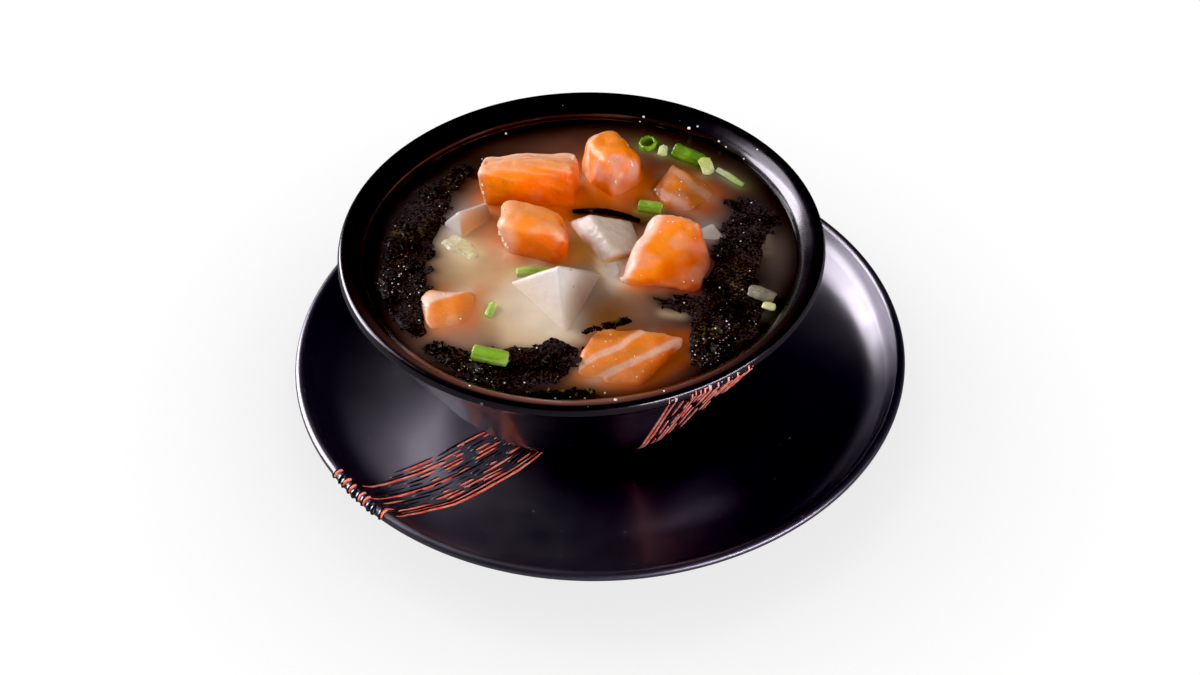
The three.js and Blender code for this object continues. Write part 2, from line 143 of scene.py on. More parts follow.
def coordinates(mesh):
    return rows_of(mesh.vertices, "co", 3) / MM


def normals(mesh):
    return rows_of(mesh.vertex_normals, "vector", 3)


def faces_of(mesh):
    return [list(face.vertices) for face in mesh.polygons]


def place(mesh, points):
    mesh.vertices.foreach_set("co", (points * MM).ravel())
    mesh.update()


def mesh_of(name, points, faces):
    """A mesh from points in millimetres."""
    mesh = bpy.data.meshes.new(name)
    mesh.from_pydata((np.asarray(points) * MM).tolist(), [], [list(face) for face in faces])
    mesh.update()
    return mesh


def linked(name, data):
    """A new object in the scene."""
    thing = bpy.data.objects.new(name, data)
    bpy.context.scene.collection.objects.link(thing)
    return thing


def remeshed(mesh, cell):
    """The skin of a solid as small even faces."""
    carrier = linked("carrier", mesh.copy())
    modifier = carrier.modifiers.new("step", "REMESH")
    modifier.mode = "VOXEL"
    modifier.voxel_size = cell * MM
    modifier.adaptivity = 0
    graph = bpy.context.evaluated_depsgraph_get()
    made = bpy.data.meshes.new_from_object(carrier.evaluated_get(graph))
    bpy.data.objects.remove(carrier)
    return made


def neighbour_mean(mesh, values, rounds):
    """Values at the vertices, averaged over the mesh's edges a number of times."""
    edges = rows_of(mesh.edges, "vertices", 2, np.int64)
    first, second = edges.T
    count = len(mesh.vertices)
    degree = np.bincount(edges.ravel(), minlength=count)[:, None]
    for _ in range(rounds):
        total = np.empty_like(values)
        for k in range(values.shape[1]):
            column = np.bincount(first, values[second, k], count)
            total[:, k] = column + np.bincount(second, values[first, k], count)
        values = 0.5 * values + 0.5 * total / np.maximum(degree, 1)
    return values


# The size of the small faces of each kind of piece, and of those on which a block is rounded first.
CELLS = {"salmon": 0.45, "tofu": 0.4, "clump": 0.32, "strip": 0.28, "ring": 0.22, "sliver": 0.25}
ROUND_CELL = 1.2


def smoothed(node, kind, rounds, rounded=0):
    """A node's solid as a fine mesh, averaged a number of times, with its points and its normals. rounded:
    how many times a coarser mesh of it is averaged first."""
    mesh = frame["nodes"][node].data
    steps = [(CELLS[kind], rounds)]
    if rounded:
        steps.insert(0, (ROUND_CELL, rounded))
    for cell, times in steps:
        mesh = remeshed(mesh, cell)
        points = neighbour_mean(mesh, coordinates(mesh), times)
        place(mesh, points)
    return mesh, points, normals(mesh)


def edge_share(mesh, rounds, low, high):
    """How close each vertex is to an edge of the block: 0 on its faces and 1 on its edges."""
    mean = neighbour_mean(mesh, normals(mesh), rounds)
    return ease(low, high, 1 - np.linalg.norm(mean, axis=1))


def paint(mesh, colours):
    layer = mesh.color_attributes.new("paint", "FLOAT_COLOR", "POINT")
    rows = np.ones((len(mesh.vertices), 4), np.float32)
    rows[:, :3] = colours
    layer.data.foreach_set("color", rows.ravel())


def piece(name, mesh, material, slot, *nodes):
    """Shows a mesh as a piece that rides on the part and stands for CAD nodes."""
    mesh.materials.clear()
    mesh.materials.append(material)
    mesh.shade_smooth()
    shown = linked(name, mesh)
    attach(shown, BODY)
    if nodes:
        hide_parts(*nodes)


class Heap:
    """Gathers many small shapes into one mesh."""

    def __init__(self):
        self.points = []
        self.faces = []
        self.count = 0

    def add(self, points, faces):
        self.points.append(np.asarray(points))
        self.faces += [[k + self.count for k in face] for face in faces]
        self.count += len(points)

    def mesh(self, name):
        return mesh_of(name, np.concatenate(self.points), self.faces)


# ---- Round shapes: rings of points between two poles ----
def ring(radius, height, sides):
    """A level ring of points."""
    angles = 2 * np.pi * np.arange(sides) / sides
    return np.column_stack([radius * np.cos(angles), radius * np.sin(angles), np.full(sides, height)])


def ring_faces(rows, sides):
    """Faces over rows of rings, from a pole on top to a pole below."""
    faces = []
    last = rows * sides + 1
    for k in range(sides):
        following = (k + 1) % sides
        faces.append([0, 1 + k, 1 + following])
        for row in range(1, last - sides, sides):
            under = row + sides
            faces.append([row + k, under + k, under + following, row + following])
        faces.append([last - sides + k, last, last - sides + following])
    return faces


def turned(profile, sides):
    """The points and faces of a profile of [radius, height] from the axis to the axis, turned about +Z."""
    rings = [ring(radius, height, sides) for radius, height in profile[1:-1]]
    points = np.vstack([[0, 0, profile[0][1]], *rings, [0, 0, profile[-1][1]]])
    return points, ring_faces(len(rings), sides)


# ---- Shaders ----
WHITE = np.ones(3)


def wire(tree, node, **inputs):
    """Sets a node's inputs to values or to other nodes' outputs. An input's name has _ for a space, or it is
    n and the input's number."""
    for key, value in inputs.items():
        socket = node.inputs[int(key[1:]) if key[1:].isdigit() else key.replace("_", " ")]
        if isinstance(value, bpy.types.NodeSocket):
            tree.links.new(value, socket)
        else:
            socket.default_value = value


def new_node(tree, kind, settings=None, **inputs):
    node = tree.nodes.new(f"ShaderNode{kind}")
    for key, value in (settings or {}).items():
        setattr(node, key, value)
    wire(tree, node, **inputs)
    return node


def new_material(name, **inputs):
    """A Principled material. Gives the material, its tree and its shader."""
    material = bpy.data.materials.new(name)
    material.use_nodes = True
    tree = material.node_tree
    shader = tree.nodes["Principled BSDF"]
    wire(tree, shader, **inputs)
    return material, tree, shader


def noise_in(tree, size, detail):
    """Noise that changes over about size millimetres."""
    at = new_node(tree, "TexCoord").outputs["Object"]
    node = new_node(tree, "TexNoise", Vector=at, Scale=1 / (size * MM), Detail=detail)
    return node.outputs["Fac"]


def ramp_in(tree, factor, *stops):
    """A colour ramp: stops are (position, colour) pairs."""
    node = new_node(tree, "ValToRGB", Fac=factor)
    for element, (position, colour) in zip(node.color_ramp.elements, stops, strict=True):
        element.position = position
        element.color = (*colour, 1)
    return node.outputs["Color"]


def mixed_in(tree, factor, first, second, mode="MIX"):
    """first and second blended as colours."""
    settings = {"data_type": "RGBA", "blend_type": mode}
    return new_node(tree, "Mix", settings, n0=factor, n6=first, n7=second).outputs[2]


def ranged_in(tree, value, low, high, start, end):
    """A value from low to high, moved to start to end."""
    ends = {"From_Min": low, "From_Max": high, "To_Min": start, "To_Max": end}
    return new_node(tree, "MapRange", Value=value, **ends).outputs["Result"]


def bump_in(tree, shader, height, depth):
    """Relief that is depth millimetres deep."""
    node = new_node(tree, "Bump", Height=height, Distance=depth * MM)
    wire(tree, shader, Normal=node.outputs["Normal"])


def paint_in(tree):
    return new_node(tree, "Attribute", {"attribute_name": "paint"}).outputs["Color"]


def lacquer_material(name, tone, roughness, coat, index, painted_reflection=False):
    """Dark lacquer: a wide soft sheen under a thinner glossy coat. Lacquer with a painted reflection adds its
    painted colour.
    """
    tint = (0.92, 0.87, 1.0, 1)
    material, tree, shader = new_material(
        name, IOR=index, Specular_IOR_Level=1.0, Specular_Tint=tint, Coat_Weight=coat, Coat_Roughness=0.12
    )
    colour = ramp_in(tree, noise_in(tree, 30, 3), (0.3, tone * 0.85), (0.7, tone * 1.15))
    dust = ramp_in(tree, noise_in(tree, 1.5, 0), (0.865, (0, 0, 0)), (0.89, (1, 1, 1)))
    colour = mixed_in(tree, dust, colour, (0.12, 0.11, 0.12, 1))
    if painted_reflection:
        # The painted colour is a painted reflection of the broth on the bowl's lip.
        colour = mixed_in(tree, 1.0, colour, paint_in(tree), "ADD")
    gloss = ranged_in(tree, noise_in(tree, 9, 4), 0.3, 0.7, roughness - 0.03, roughness + 0.04)
    wire(tree, shader, Base_Color=colour, Roughness=gloss)
    bump_in(tree, shader, noise_in(tree, 0.9, 1), 0.0015)
    return material


def toned_material(
    name, shade, relief=None, gloss=None, coat=(0, 0), soft=(0, WHITE), painted=True, **inputs
):
    """A material toned by noise, over its painted colours or by itself.

    shade: the noise's size and detail and the two stops of its ramp. relief: the bumps' size, detail and
    depth. gloss: a noise's size and detail, a range of it, and the range of roughness that this becomes.
    coat: the coat's weight and roughness. soft: how far light goes in, and its reach by colour.
    """
    material, tree, shader = new_material(
        name,
        Coat_Weight=coat[0],
        Coat_Roughness=coat[1],
        Subsurface_Weight=soft[0],
        Subsurface_Radius=soft[1],
        Subsurface_Scale=MM,
        **inputs,
    )
    size, detail, *stops = shade
    colour = ramp_in(tree, noise_in(tree, size, detail), *stops)
    if painted:
        colour = mixed_in(tree, 1.0, paint_in(tree), colour, "MULTIPLY")
    wire(tree, shader, Base_Color=colour)
    if gloss:
        size, detail, *ranges = gloss
        wire(tree, shader, Roughness=ranged_in(tree, noise_in(tree, size, detail), *ranges))
    if relief:
        size, detail, depth = relief
        bump_in(tree, shader, noise_in(tree, size, detail), depth)
    return material


def streak_material(name, deep, light):
    """Red lacquer paint, lighter where it is thin."""
    shade = (2.5, 3, (0.35, deep), (0.65, light))
    return toned_material(name, shade, (0.8, 2, 0.05), coat=(0.6, 0.12), painted=False, Roughness=0.3)


def green_material(name, coat):
    shade = (0.9, 4, (0.3, (0.8, 0.84, 0.78)), (0.7, (1.08, 1.05, 1.05)))
    soft = (0.6, (1.4, 1.8, 0.6))
    return toned_material(name, shade, (0.6, 3, 0.08), coat=(coat, 0.1), soft=soft, Roughness=0.3)


saucer_lacquer = lacquer_material("saucer_lacquer", np.array([0.006, 0.005, 0.010]), 0.36, 0.2, 2.1)
bowl_lacquer = lacquer_material("bowl_lacquer", np.array([0.003, 0.002, 0.003]), 0.2, 0.15, 1.5, painted_reflection=True)
ridge_lacquer = lacquer_material("ridge_lacquer", np.array([0.004, 0.004, 0.006]), 0.3, 0.3, 1.9)
red_lacquer = streak_material("red_streak", srgb(244, 84, 66), srgb(255, 160, 138))
bright_red_lacquer = streak_material("bright_red_streak", srgb(255, 92, 74), srgb(255, 196, 180))
broth = toned_material(
    "broth",
    (7, 4, (0.3, WHITE * 0.94), (0.7, WHITE * 1.06)),
    (9, 1, 0.05),
    soft=(0.3, (3, 2, 1)),
    Roughness=0.1,
    IOR=1.33,
)
salmon = toned_material(
    "salmon",
    (1.6, 3, (0.3, WHITE * 0.95), (0.7, WHITE * 1.04)),
    (1.0, 4, 0.2),
    (3, 3, 0.3, 0.7, 0.4, 0.6),
    coat=(0.3, 0.12),
    soft=(0.3, (2.5, 1.2, 0.5)),
)
tofu = toned_material(
    "tofu",
    (2.2, 4, (0.3, (0.93, 0.91, 0.88)), (0.7, WHITE)),
    (0.7, 3, 0.07),
    (4, 2, 0.3, 0.7, 0.35, 0.5),
    coat=(0.25, 0.15),
    soft=(0.25, (2, 1.4, 0.9)),
)
seaweed = toned_material(
    "seaweed",
    (0.7, 4, (0.42, WHITE * 0.15), (0.62, (1.6, 1.5, 1.4))),
    (0.5, 4, 0.3),
    (1.2, 3, 0.35, 0.65, 0.4, 0.85),
    coat=(0.09, 0.06),
    Specular_IOR_Level=0.05,
)
greenery = green_material("green", 0.6)
pale_leek = green_material("leek", 0.1)
# Drops painted pale white, so that they show as glints.
glint_drop = toned_material(
    "glint_drop",
    (2.0, 2, (0.35, (0.7, 0.68, 0.66)), (0.6, (1.0, 0.98, 0.96))),
    coat=(1.0, 0.03),
    painted=False,
    Roughness=0.08,
    Specular_IOR_Level=0.8,
)


# ---- Dishes: profiles turned about +Z ----
DISH_SIDES = 224
CRISP_ANGLE = math.radians(42)


def through(points, steps):
    """Points along a smooth curve through [radius, height] pairs."""
    points = np.asarray(points, float)
    padded = np.vstack([2 * points[0] - points[1], points, 2 * points[-1] - points[-2]])
    curve = []
    for k in range(len(points) - 1):
        before, start, end, after = padded[k : k + 4]
        for t in np.linspace(0, 1, steps, endpoint=False):
            bend = 2 * start - 2 * end + (end - before) / 2 + (after - start) / 2
            ease_in = -3 * start + 3 * end - (end - before) - (after - start) / 2
            curve.append(start + t * (end - before) / 2 + t * t * ease_in + t**3 * bend)
    return [*curve, points[-1]]


def arc(centre, radius, start, end, steps):
    """Points on an arc, with its angles in degrees."""
    angles = np.radians(np.linspace(start, end, steps))
    return [[centre[0] + radius * math.cos(a), centre[1] + radius * math.sin(a)] for a in angles]


SAUCER_FLOOR = 6.5
SAUCER_UNDER = 3.0
SAUCER_LIP = 1.6
SAUCER_WELL = [[0, SAUCER_FLOOR], [40, SAUCER_FLOOR], [62, SAUCER_FLOOR], [74, 7.2], [86, 10.2], [92.8, 15.6]]
SAUCER_LIP_MIDDLE = [SAUCER_RADIUS - SAUCER_LIP, SAUCER_HEIGHT - SAUCER_LIP]
FOOT_TURN = 0.9

BOWL_BASE = [[0, 3], [31, 3], [31.8, 2.6], [32.8, 0.5], [33.4, 0], [36.2, 0]]
BOWL_SIDE = [[36.8, 0.6], [36.3, 4], [41, 7.4], [47.6, 13], [52.6, 19.2], [56.4, 25.6], [65.2, 41.2]]
BOWL_SIDE += [[74.1, 56.7]]
# The lip from its outside over its top, full and a little bevelled.
BOWL_EDGE = [[74.6, 57.4], [74.95, 58.0], [74.97, 58.5], [74.83, 59.2], [74.62, 59.9], [74.4, 60.35]]
BOWL_EDGE += [[74.05, 60.68], [73.6, 60.85], [73.0, 60.9], [72.4, 60.84]]
BOWL_INSIDE = [[72, 60.7], [71, 60.3], [70, 59.7], [69, 59], [68.1, 58.2], [67.3, 57.2], [66.8, 56]]
BOWL_INSIDE += [[66.4, 54.3], [61.2, 44], [55, 33.4], [48, 22.6], [36, 13.2], [22, 10.2]]


def saucer_top():
    """The saucer's upper side, from the middle to the outside of its lip."""
    return [*through(SAUCER_WELL, 8), *arc(SAUCER_LIP_MIDDLE, SAUCER_LIP, 170, -20, 14)]


def saucer_profile():
    inner = arc([46.9, FOOT_TURN], FOOT_TURN, 200, 270, 4)
    outer = arc([49.1, FOOT_TURN], FOOT_TURN, 270, 340, 4)
    base = [[0, SAUCER_UNDER], [43, SAUCER_UNDER], [44.5, SAUCER_UNDER], *inner, *outer]
    outside = through([[51.5, SAUCER_UNDER], [76, 5.2], [88.5, 10.4], [96, 18]], 8)
    return [*base, *outside, *saucer_top()[::-1]]


def bowl_profile():
    sides = [*through(BOWL_SIDE, 6), *through(BOWL_EDGE, 4), *through(BOWL_INSIDE, 6)]
    return [*BOWL_BASE, *sides, [12, 9.6], [0, 9.5]]


# The painted reflection of the broth, brown, on the inner turn of the bowl's lip: its colour, its bearing,
# and how far round it reaches.
LIP_REFLECTION = srgb(118, 76, 66)
LIP_REFLECTION_BEARING = -98
LIP_REFLECTION_REACH = 36


def lip_reflection(points):
    """The painted reflection of the broth, brown, on the lacquer at places measured from the bowl's foot."""
    reach = np.hypot(points[:, 0], points[:, 1])
    bearing = np.degrees(np.arctan2(points[:, 1], points[:, 0]))
    apart = (bearing - LIP_REFLECTION_BEARING + 180) % 360 - 180
    around = np.exp(-((apart / LIP_REFLECTION_REACH) ** 2))
    inner = ease(BOWL_RADIUS - 5.4, BOWL_RADIUS - 3.6, reach)
    inner *= 1 - ease(BOWL_RADIUS - 2.9, BOWL_RADIUS - 1.3, reach)
    share = inner * around * ease(BOWL_HEIGHT - 5, BOWL_HEIGHT - 3, points[:, 2])
    return np.outer(share, LIP_REFLECTION)


def dishes():
    for node, profile, middle, lacquer in (
        ("saucer", saucer_profile(), np.zeros(3), saucer_lacquer),
        ("bowl", bowl_profile(), BOWL_FOOT, bowl_lacquer),
    ):
        points, faces = turned(profile[::-1], DISH_SIDES)
        mesh = mesh_of(f"{node}_dish", points + middle, faces)
        piece(f"{node}_dish", mesh, lacquer, "lacquer", node)
        mesh.set_sharp_from_angle(angle=CRISP_ANGLE)
        # A painted reflection of the broth, brown, on the inner turn of the bowl's lip.
        paint(mesh, lip_reflection(coordinates(mesh) - BOWL_FOOT))


# ---- Brushed streaks: ridges of lacquer and red lines on both dishes ----
SKIN_STEP = 0.4


class Skin:
    """The skin of a turned dish. reach is the way along its profile, and bearing an angle in degrees."""

    def __init__(self, profile, middle):
        self.profile = np.asarray(profile, float)
        steps = np.linalg.norm(np.diff(self.profile, axis=0), axis=1)
        self.reach = np.concatenate([[0], np.cumsum(steps)])
        self.middle = middle

    def spot(self, reach):
        """The radius and the height on the profile."""
        return np.array([np.interp(reach, self.reach, column) for column in self.profile.T])

    def at(self, reach, bearing):
        """Points and outward normals."""
        around = np.array([np.cos(np.radians(bearing)), np.sin(np.radians(bearing))])
        radius, height = self.spot(reach)
        out, up = self.spot(reach + SKIN_STEP) - self.spot(reach - SKIN_STEP)
        points = np.vstack([around * radius, height]).T + self.middle
        facing = np.vstack([around * -up, out]) / np.hypot(out, up)
        return points, facing.T


RIDGE_SECTION = [(-1, -0.4), (-0.75, 0.45), (-0.3, 0.92), (0.3, 0.92), (0.75, 0.45), (1, -0.4)]
RIDGE_ENDS = [(0, 1, 2, 3), (0, 3, 4, 5)]


def ridge(heap, skin, outward, path, width, height):
    """A rounded ridge along a path of [reach, bearing] on a skin, tapered to nothing at both ends."""
    reach, bearing = np.asarray(path, float).T
    points, facing = skin.at(reach, bearing)
    facing = facing * outward
    along = np.gradient(points, axis=0)
    along /= np.linalg.norm(along, axis=1)[:, None]
    side = np.cross(facing, along)
    share = np.linspace(0, 1, len(points))
    taper = np.sqrt(np.clip(4 * share * (1 - share), 0.02, 1))[:, None] ** 0.7
    rows = [
        points + side * (across * width / 2 * taper) + facing * (rise * height * taper)
        for across, rise in RIDGE_SECTION
    ]
    count = len(RIDGE_SECTION)
    last = (len(points) - 1) * count
    faces = []
    for start in range(0, last, count):
        for k in range(count):
            a, b = start + k, start + (k + 1) % count
            faces.append([a, a + count, b + count, b])
    for end in RIDGE_ENDS:
        faces.append(end)
        faces.append([last + k for k in reversed(end)])
    heap.add(np.stack(rows, axis=1).reshape(-1, 3), faces)


STROKE_STEP = 1.4
WAVER = 0.006


class Band:
    """Brush strokes on a skin, in lanes from 0 at one edge to 1 at the other. Each edge is rows of
    [reach, bearing]."""

    def __init__(self, skin, outward, *edges):
        self.skin = skin
        self.outward = outward
        self.edges = [np.asarray(edge, float) for edge in edges]
        self.black, self.red = Heap(), Heap()

    def stroke(self, heap, lane, begin, finish, width, height):
        """A ridge in a lane, between two shares of the band's length."""
        first, second = self.edges
        span = first[-1, 0] - first[0, 0]
        shares = np.linspace(begin, finish, max(6, int((finish - begin) * span / STROKE_STEP)))
        reach = first[0, 0] + shares * span
        low, high = np.interp(reach, *first.T), np.interp(reach, *second.T)
        bearing = low + (high - low) * (lane + WAVER * np.sin(shares * 11 + lane * 23))
        ridge(heap, self.skin, self.outward, np.column_stack([reach, bearing]), width, height)

    def fill(self, lanes, seed, ends, red_share, lengths, gap, relief=1.0, red_width=1.0):
        """Broken streaks in every lane. ends gives where a lane's streaks begin and end, red_share the share
        of red ones by the way along the band, gap the most that parts two streaks, and relief how high the
        black ones stand."""
        draw = random.Random(seed)
        for number in range(lanes):
            lane = (number + 0.5) / lanes
            at, end = ends(lane, draw)
            while at < end:
                length = draw.choice(lengths)
                begin, finish = max(0, at), min(end, at + length)
                if finish - begin > 0.02:
                    side = lane + draw.uniform(-0.16, 0.16) / lanes
                    width = draw.uniform(0.6, 1.0)
                    self.stroke(self.black, side, begin, finish, width, relief * draw.uniform(0.22, 0.36))
                    if draw.random() < red_share((begin + finish) / 2):
                        finish -= draw.uniform(0, 0.25) * (finish - begin)
                        height = draw.uniform(0.22, 0.34)
                        self.stroke(self.red, side + 0.40 / lanes, begin, finish, width * red_width, height)
                at += length + draw.uniform(0.006, gap)

    def show(self, dish, red):
        for name, heap, lacquer, slot in (
            (f"{dish}_streak_ridges", self.black, ridge_lacquer, "lacquer"),
            (f"{dish}_streak_red", self.red, red, "streak"),
        ):
            piece(name, heap.mesh(name), lacquer, slot)


def saucer_streaks():
    """A band that sweeps in from the lip at the front left and runs in under the bowl, with knobs of
    lacquer over the lip."""
    skin = Skin(saucer_top(), np.zeros(3))
    inner = 36.0
    outer = skin.reach[np.argmax(skin.profile[:, 0] >= SAUCER_RADIUS - 0.1)] + 1.4
    upper = [(inner, -149.3), (60, -147.8), (76, -148.0), (90, -147.6), (outer, -146.8)]
    lower = [(inner, -118.4), (40, -119.2), (48.7, -122.3), (57, -125.6), (65, -127.9), (72.3, -129.8)]
    lower += [(79, -132.1), (86.5, -133.8), (93, -133.6), (outer, -132.4)]
    band = Band(skin, 1, upper, lower)
    band.fill(
        14,
        5,
        lambda lane, draw: (draw.uniform(-0.1, 0.0), 0.70 + 0.26 * lane - draw.uniform(0, 0.12)),
        lambda share: 0.62 if share < 0.5 else 0.12,
        [0.05, 0.07, 0.1, 0.13, 0.2],
        0.07,
    )
    for lane, begin, finish, width in (
        (0.985, 0.0, 0.80, 1.0),
        (0.925, 0.0, 0.74, 0.8),
        (0.52, 0.30, 0.84, 1.0),
        (0.21, 0.36, 0.80, 0.8),
        (0.06, 0.10, 0.24, 0.9),
    ):
        band.stroke(band.red, lane, begin, finish, width, 0.3)
        band.stroke(band.black, lane - 0.035, begin, min(1, finish + 0.1), width, 0.42)
    draw = random.Random(3)
    for knob in range(10):
        lane = (knob + 0.5) / 10 + draw.uniform(-0.02, 0.02)
        begin = draw.uniform(0.925, 0.945)
        band.stroke(band.black, lane, begin, 1.0, draw.uniform(1.7, 2.4), 0.8)
        if draw.random() < 0.7:
            band.stroke(band.red, lane + 0.03, begin - 0.01, 0.985, 0.9, 0.75)
    band.show("saucer", red_lacquer)


def bowl_streaks():
    """A band of upright streaks from the foot to the lip at the front right of the bowl's outside."""
    skin = Skin([*through(BOWL_SIDE, 6), *BOWL_EDGE[:5]], BOWL_FOOT)
    top = skin.reach[-1]
    left = [(1, -77), (9, -71.5), (16, -71.2), (28, -71.6), (top, -71.4)]
    band = Band(skin, -1, left, [(1, -52), (28, -50), (top, -49.4)])
    band.fill(
        11,
        8,
        lambda lane, draw: (0.26 + 0.62 * lane**1.2 + draw.uniform(-0.08, 0.06), 1.04),
        lambda share: 0.95,
        [0.12, 0.18, 0.26],
        0.05,
        0.2,
        0.95,
    )
    for lane, begin, width in ((0.01, 0.05, 1.1), (0.07, 0.12, 1.0), (0.30, 0.34, 1.0)):
        band.stroke(band.red, lane, begin, 1.0, width, 0.3)
    draw = random.Random(6)
    for lane in (0.38, 0.47, 0.56, 0.66, 0.79, 0.93):
        side = lane + draw.uniform(-0.02, 0.02)
        band.stroke(band.red, side, draw.uniform(0.76, 0.88), 1.02, draw.uniform(0.7, 1.0), 0.3)
    trail = [[3 + 9 * share**2, -104 + 32 * share] for share in np.linspace(0, 1, 30)]
    ridge(band.red, skin, -1, trail, 0.5, 0.2)
    band.show("bowl", bright_red_lacquer)


# ---- The broth's own colours ----
MAUVE = srgb(64, 50, 50)
FILM = srgb(44, 34, 36)
CREAM = srgb(208, 178, 138)
BEIGE = srgb(200, 156, 110)
PINK_BEIGE = srgb(220, 164, 124)
GLOW = srgb(220, 108, 14)
# An amber tone, painted as shadow in the broth.
AMBER_SHADOW = srgb(132, 78, 20)
BROWN = srgb(124, 90, 72)
RED_BROWN = srgb(104, 64, 50)
# Broth in shade: painted near the wall and under the surface.
SHADED_BROTH = srgb(15, 9, 8)
TAN = srgb(140, 110, 90)
SUNKEN_CURD = srgb(207, 176, 134)
PALE_CURD = srgb(218, 200, 180)

# Clouds of miso in the broth, with painted light and shade among them: the orange glow clouds are a painted
# glow of the salmon, the amber one a painted shadow beside the front tofu, and the near-black one at the back
# left a painted shadow of the rim. Each is a colour, middle, reach along X and along Y, and strength.
CLOUDS = [
    (RED_BROWN, (2, 50), (24, 8), 0.9),
    (RED_BROWN, (0, 36), (34, 12), 0.8),
    (BROWN, (-2, -46), (13, 9), 0.9),
    (RED_BROWN, (16, -58), (22, 9), 0.9),
    (srgb(140, 106, 96), (-38, -43), (13, 7), 1.0),
    (FILM, (-50, 16), (8, 16), 0.9),
    # A painted shadow of the rim on the broth.
    (srgb(10, 4, 3), (-44, 40), (16, 12), 0.9),
    (FILM, (59, -12), (6, 14), 0.9),
    (srgb(84, 70, 64), (62, -3), (7, 14), 0.9),
    (srgb(100, 68, 44), (54, 6), (6, 8), 0.8),
    (srgb(62, 54, 46), (52, 34), (8, 10), 0.8),
    (srgb(204, 144, 112), (-42, -30), (10, 8), 0.9),
    (srgb(160, 126, 114), (-38, -42), (9, 5), 0.9),
    (srgb(204, 200, 150), (-37, 9), (9, 6), 0.7),
    (srgb(236, 216, 196), (-15, -23), (9, 7), 0.9),
    (BROWN, (17, -26), (13, 8), 0.95),
    (BROWN, (-43, -8), (6, 14), 0.6),
    (RED_BROWN, (42, 22), (9, 12), 0.8),
    (TAN, (-42, 12), (7, 8), 0.8),
    (BEIGE, (-26, -14), (15, 20), 1.0),
    (CREAM, (-36, -2), (8, 9), 0.8),
    (CREAM, (-16, -34), (11, 7), 1.0),
    (PINK_BEIGE, (-29, 12), (8, 9), 0.9),
    # A painted glow of the salmon in the broth.
    (GLOW, (-4, 22), (18, 10), 0.95),
    (GLOW, (14, 28), (10, 8), 0.9),
    # A painted shadow beside the front tofu.
    (AMBER_SHADOW, (4, -29), (8, 9), 1.0),
    (srgb(190, 136, 64), (-1, -1), (8, 8), 0.9),
    (srgb(186, 152, 108), (12, -12), (9, 7), 0.85),
]

# Pieces wholly under the surface, seen through it: colour, softness of the edge, strength and corners.
SUNKEN = [
    (SUNKEN_CURD, 5.0, 0.85, [(-24.9, -22.7), (-20.5, -12), (-4, -36), (-5.1, -42.5), (-22.5, -42.0)]),
    (PALE_CURD, 7.0, 0.85, [(-14, -9), (-3.5, -30), (-3.8, -37.5), (-8, -41), (-18, -36), (-25, -22)]),
    (srgb(214, 188, 150), 1.4, 0.85, [(4.7, -3.3), (9.4, -0.7), (13.0, -3.7), (6.7, -11.8), (4.9, -9.9)]),
    (srgb(112, 96, 84), 1.6, 0.8, [(51.5, 7.9), (59, 7.6), (58.7, -3.8), (50.7, -3.5)]),
    (srgb(150, 72, 26), 2.2, 0.9, [(30.7, -50.1), (18.7, -58.7), (20, -46), (21.5, -37.8), (32.5, -37)]),
    (srgb(190, 164, 130), 1.0, 0.7, [(22.5, -27.9), (31, -30), (30, -31.6), (23, -30)]),
]


def inside_share(places, corners, soft):
    """1 well inside a convex polygon, 0 well outside it, soft along its edges."""
    corners = np.asarray(corners, float)
    following = np.roll(corners, -1, axis=0)
    turn = np.sign(np.sum(np.cross(corners, following)))
    ways = (following - corners) / np.linalg.norm(following - corners, axis=1)[:, None]
    inward = [turn * np.cross(way, places - start) for start, way in zip(corners, ways)]
    return ease(-soft, soft, np.min(inward, axis=0))


def over_sunken(colour, flat):
    """Colours of the broth with what lies under it."""
    for tone, soft, strength, corners in SUNKEN:
        colour = blend(colour, tone, strength * inside_share(flat, corners, soft))
    return colour


def broth_colour(places):
    """The colour of the broth itself at each place, clear of all that stands in it."""
    flat = places[:, :2] - SOUP_MIDDLE[:2]
    level = np.column_stack([places[:, :2], np.full(len(places), LEVEL)])
    drift = np.column_stack([rough(level, 14, 3, 3), rough(level, 14, 3, 8)])
    # Darker toward the wall: a painted shade of the wall.
    colour = blend(MAUVE, SHADED_BROTH, ease(34, 66, np.hypot(*flat.T) + 5 * grain(level, 16, 6)))
    for tone, middle, size, strength in CLOUDS:
        apart = (flat + 1.6 * drift - middle) / size
        colour = blend(colour, tone, strength * np.exp(-np.sum(apart**2, axis=1)))
    return over_sunken(colour, flat)


def dipped(points, colour, depth, strength):
    """Colours of a thing that stands in the broth, fading into it from depth above the surface down."""
    height = points[:, 2] - LEVEL + 0.6 * grain(points, 3.5, 9)
    return blend(colour, broth_colour(points), strength * (1 - ease(-0.5, depth, height)))


# ---- Blocks of salmon and tofu ----
# The way to the light: it sets where painted pale light falls on the cut faces, where painted highlights fall
# on the wet edges, and where painted shade falls on the far sides.
LIGHT = np.array([-0.72, 0.38, 0.58])
# The way in which a painted shade darkens a block of salmon away from the light, and the way through its
# flakes.
DUSK_WAY = np.array([0.85, -0.35, -0.4])
FLAKE_WAY = np.array([0.2, 0.8, 0.55])
FLAKE_SIZE = 2.4

# Flesh tones. The shaded ones are painted shade, the lit pale one is painted light, and the white of fat is
# also painted as glints on lit edges.
FLESH = srgb(250, 137, 14)
SHADED_FLESH = srgb(240, 106, 0)
DEEPLY_SHADED_FLESH = srgb(204, 74, 0)
LIT_PALE_FLESH = srgb(246, 186, 146)
PINK_FLESH = srgb(236, 158, 128)
FAT_AND_GLINT = srgb(255, 226, 210)
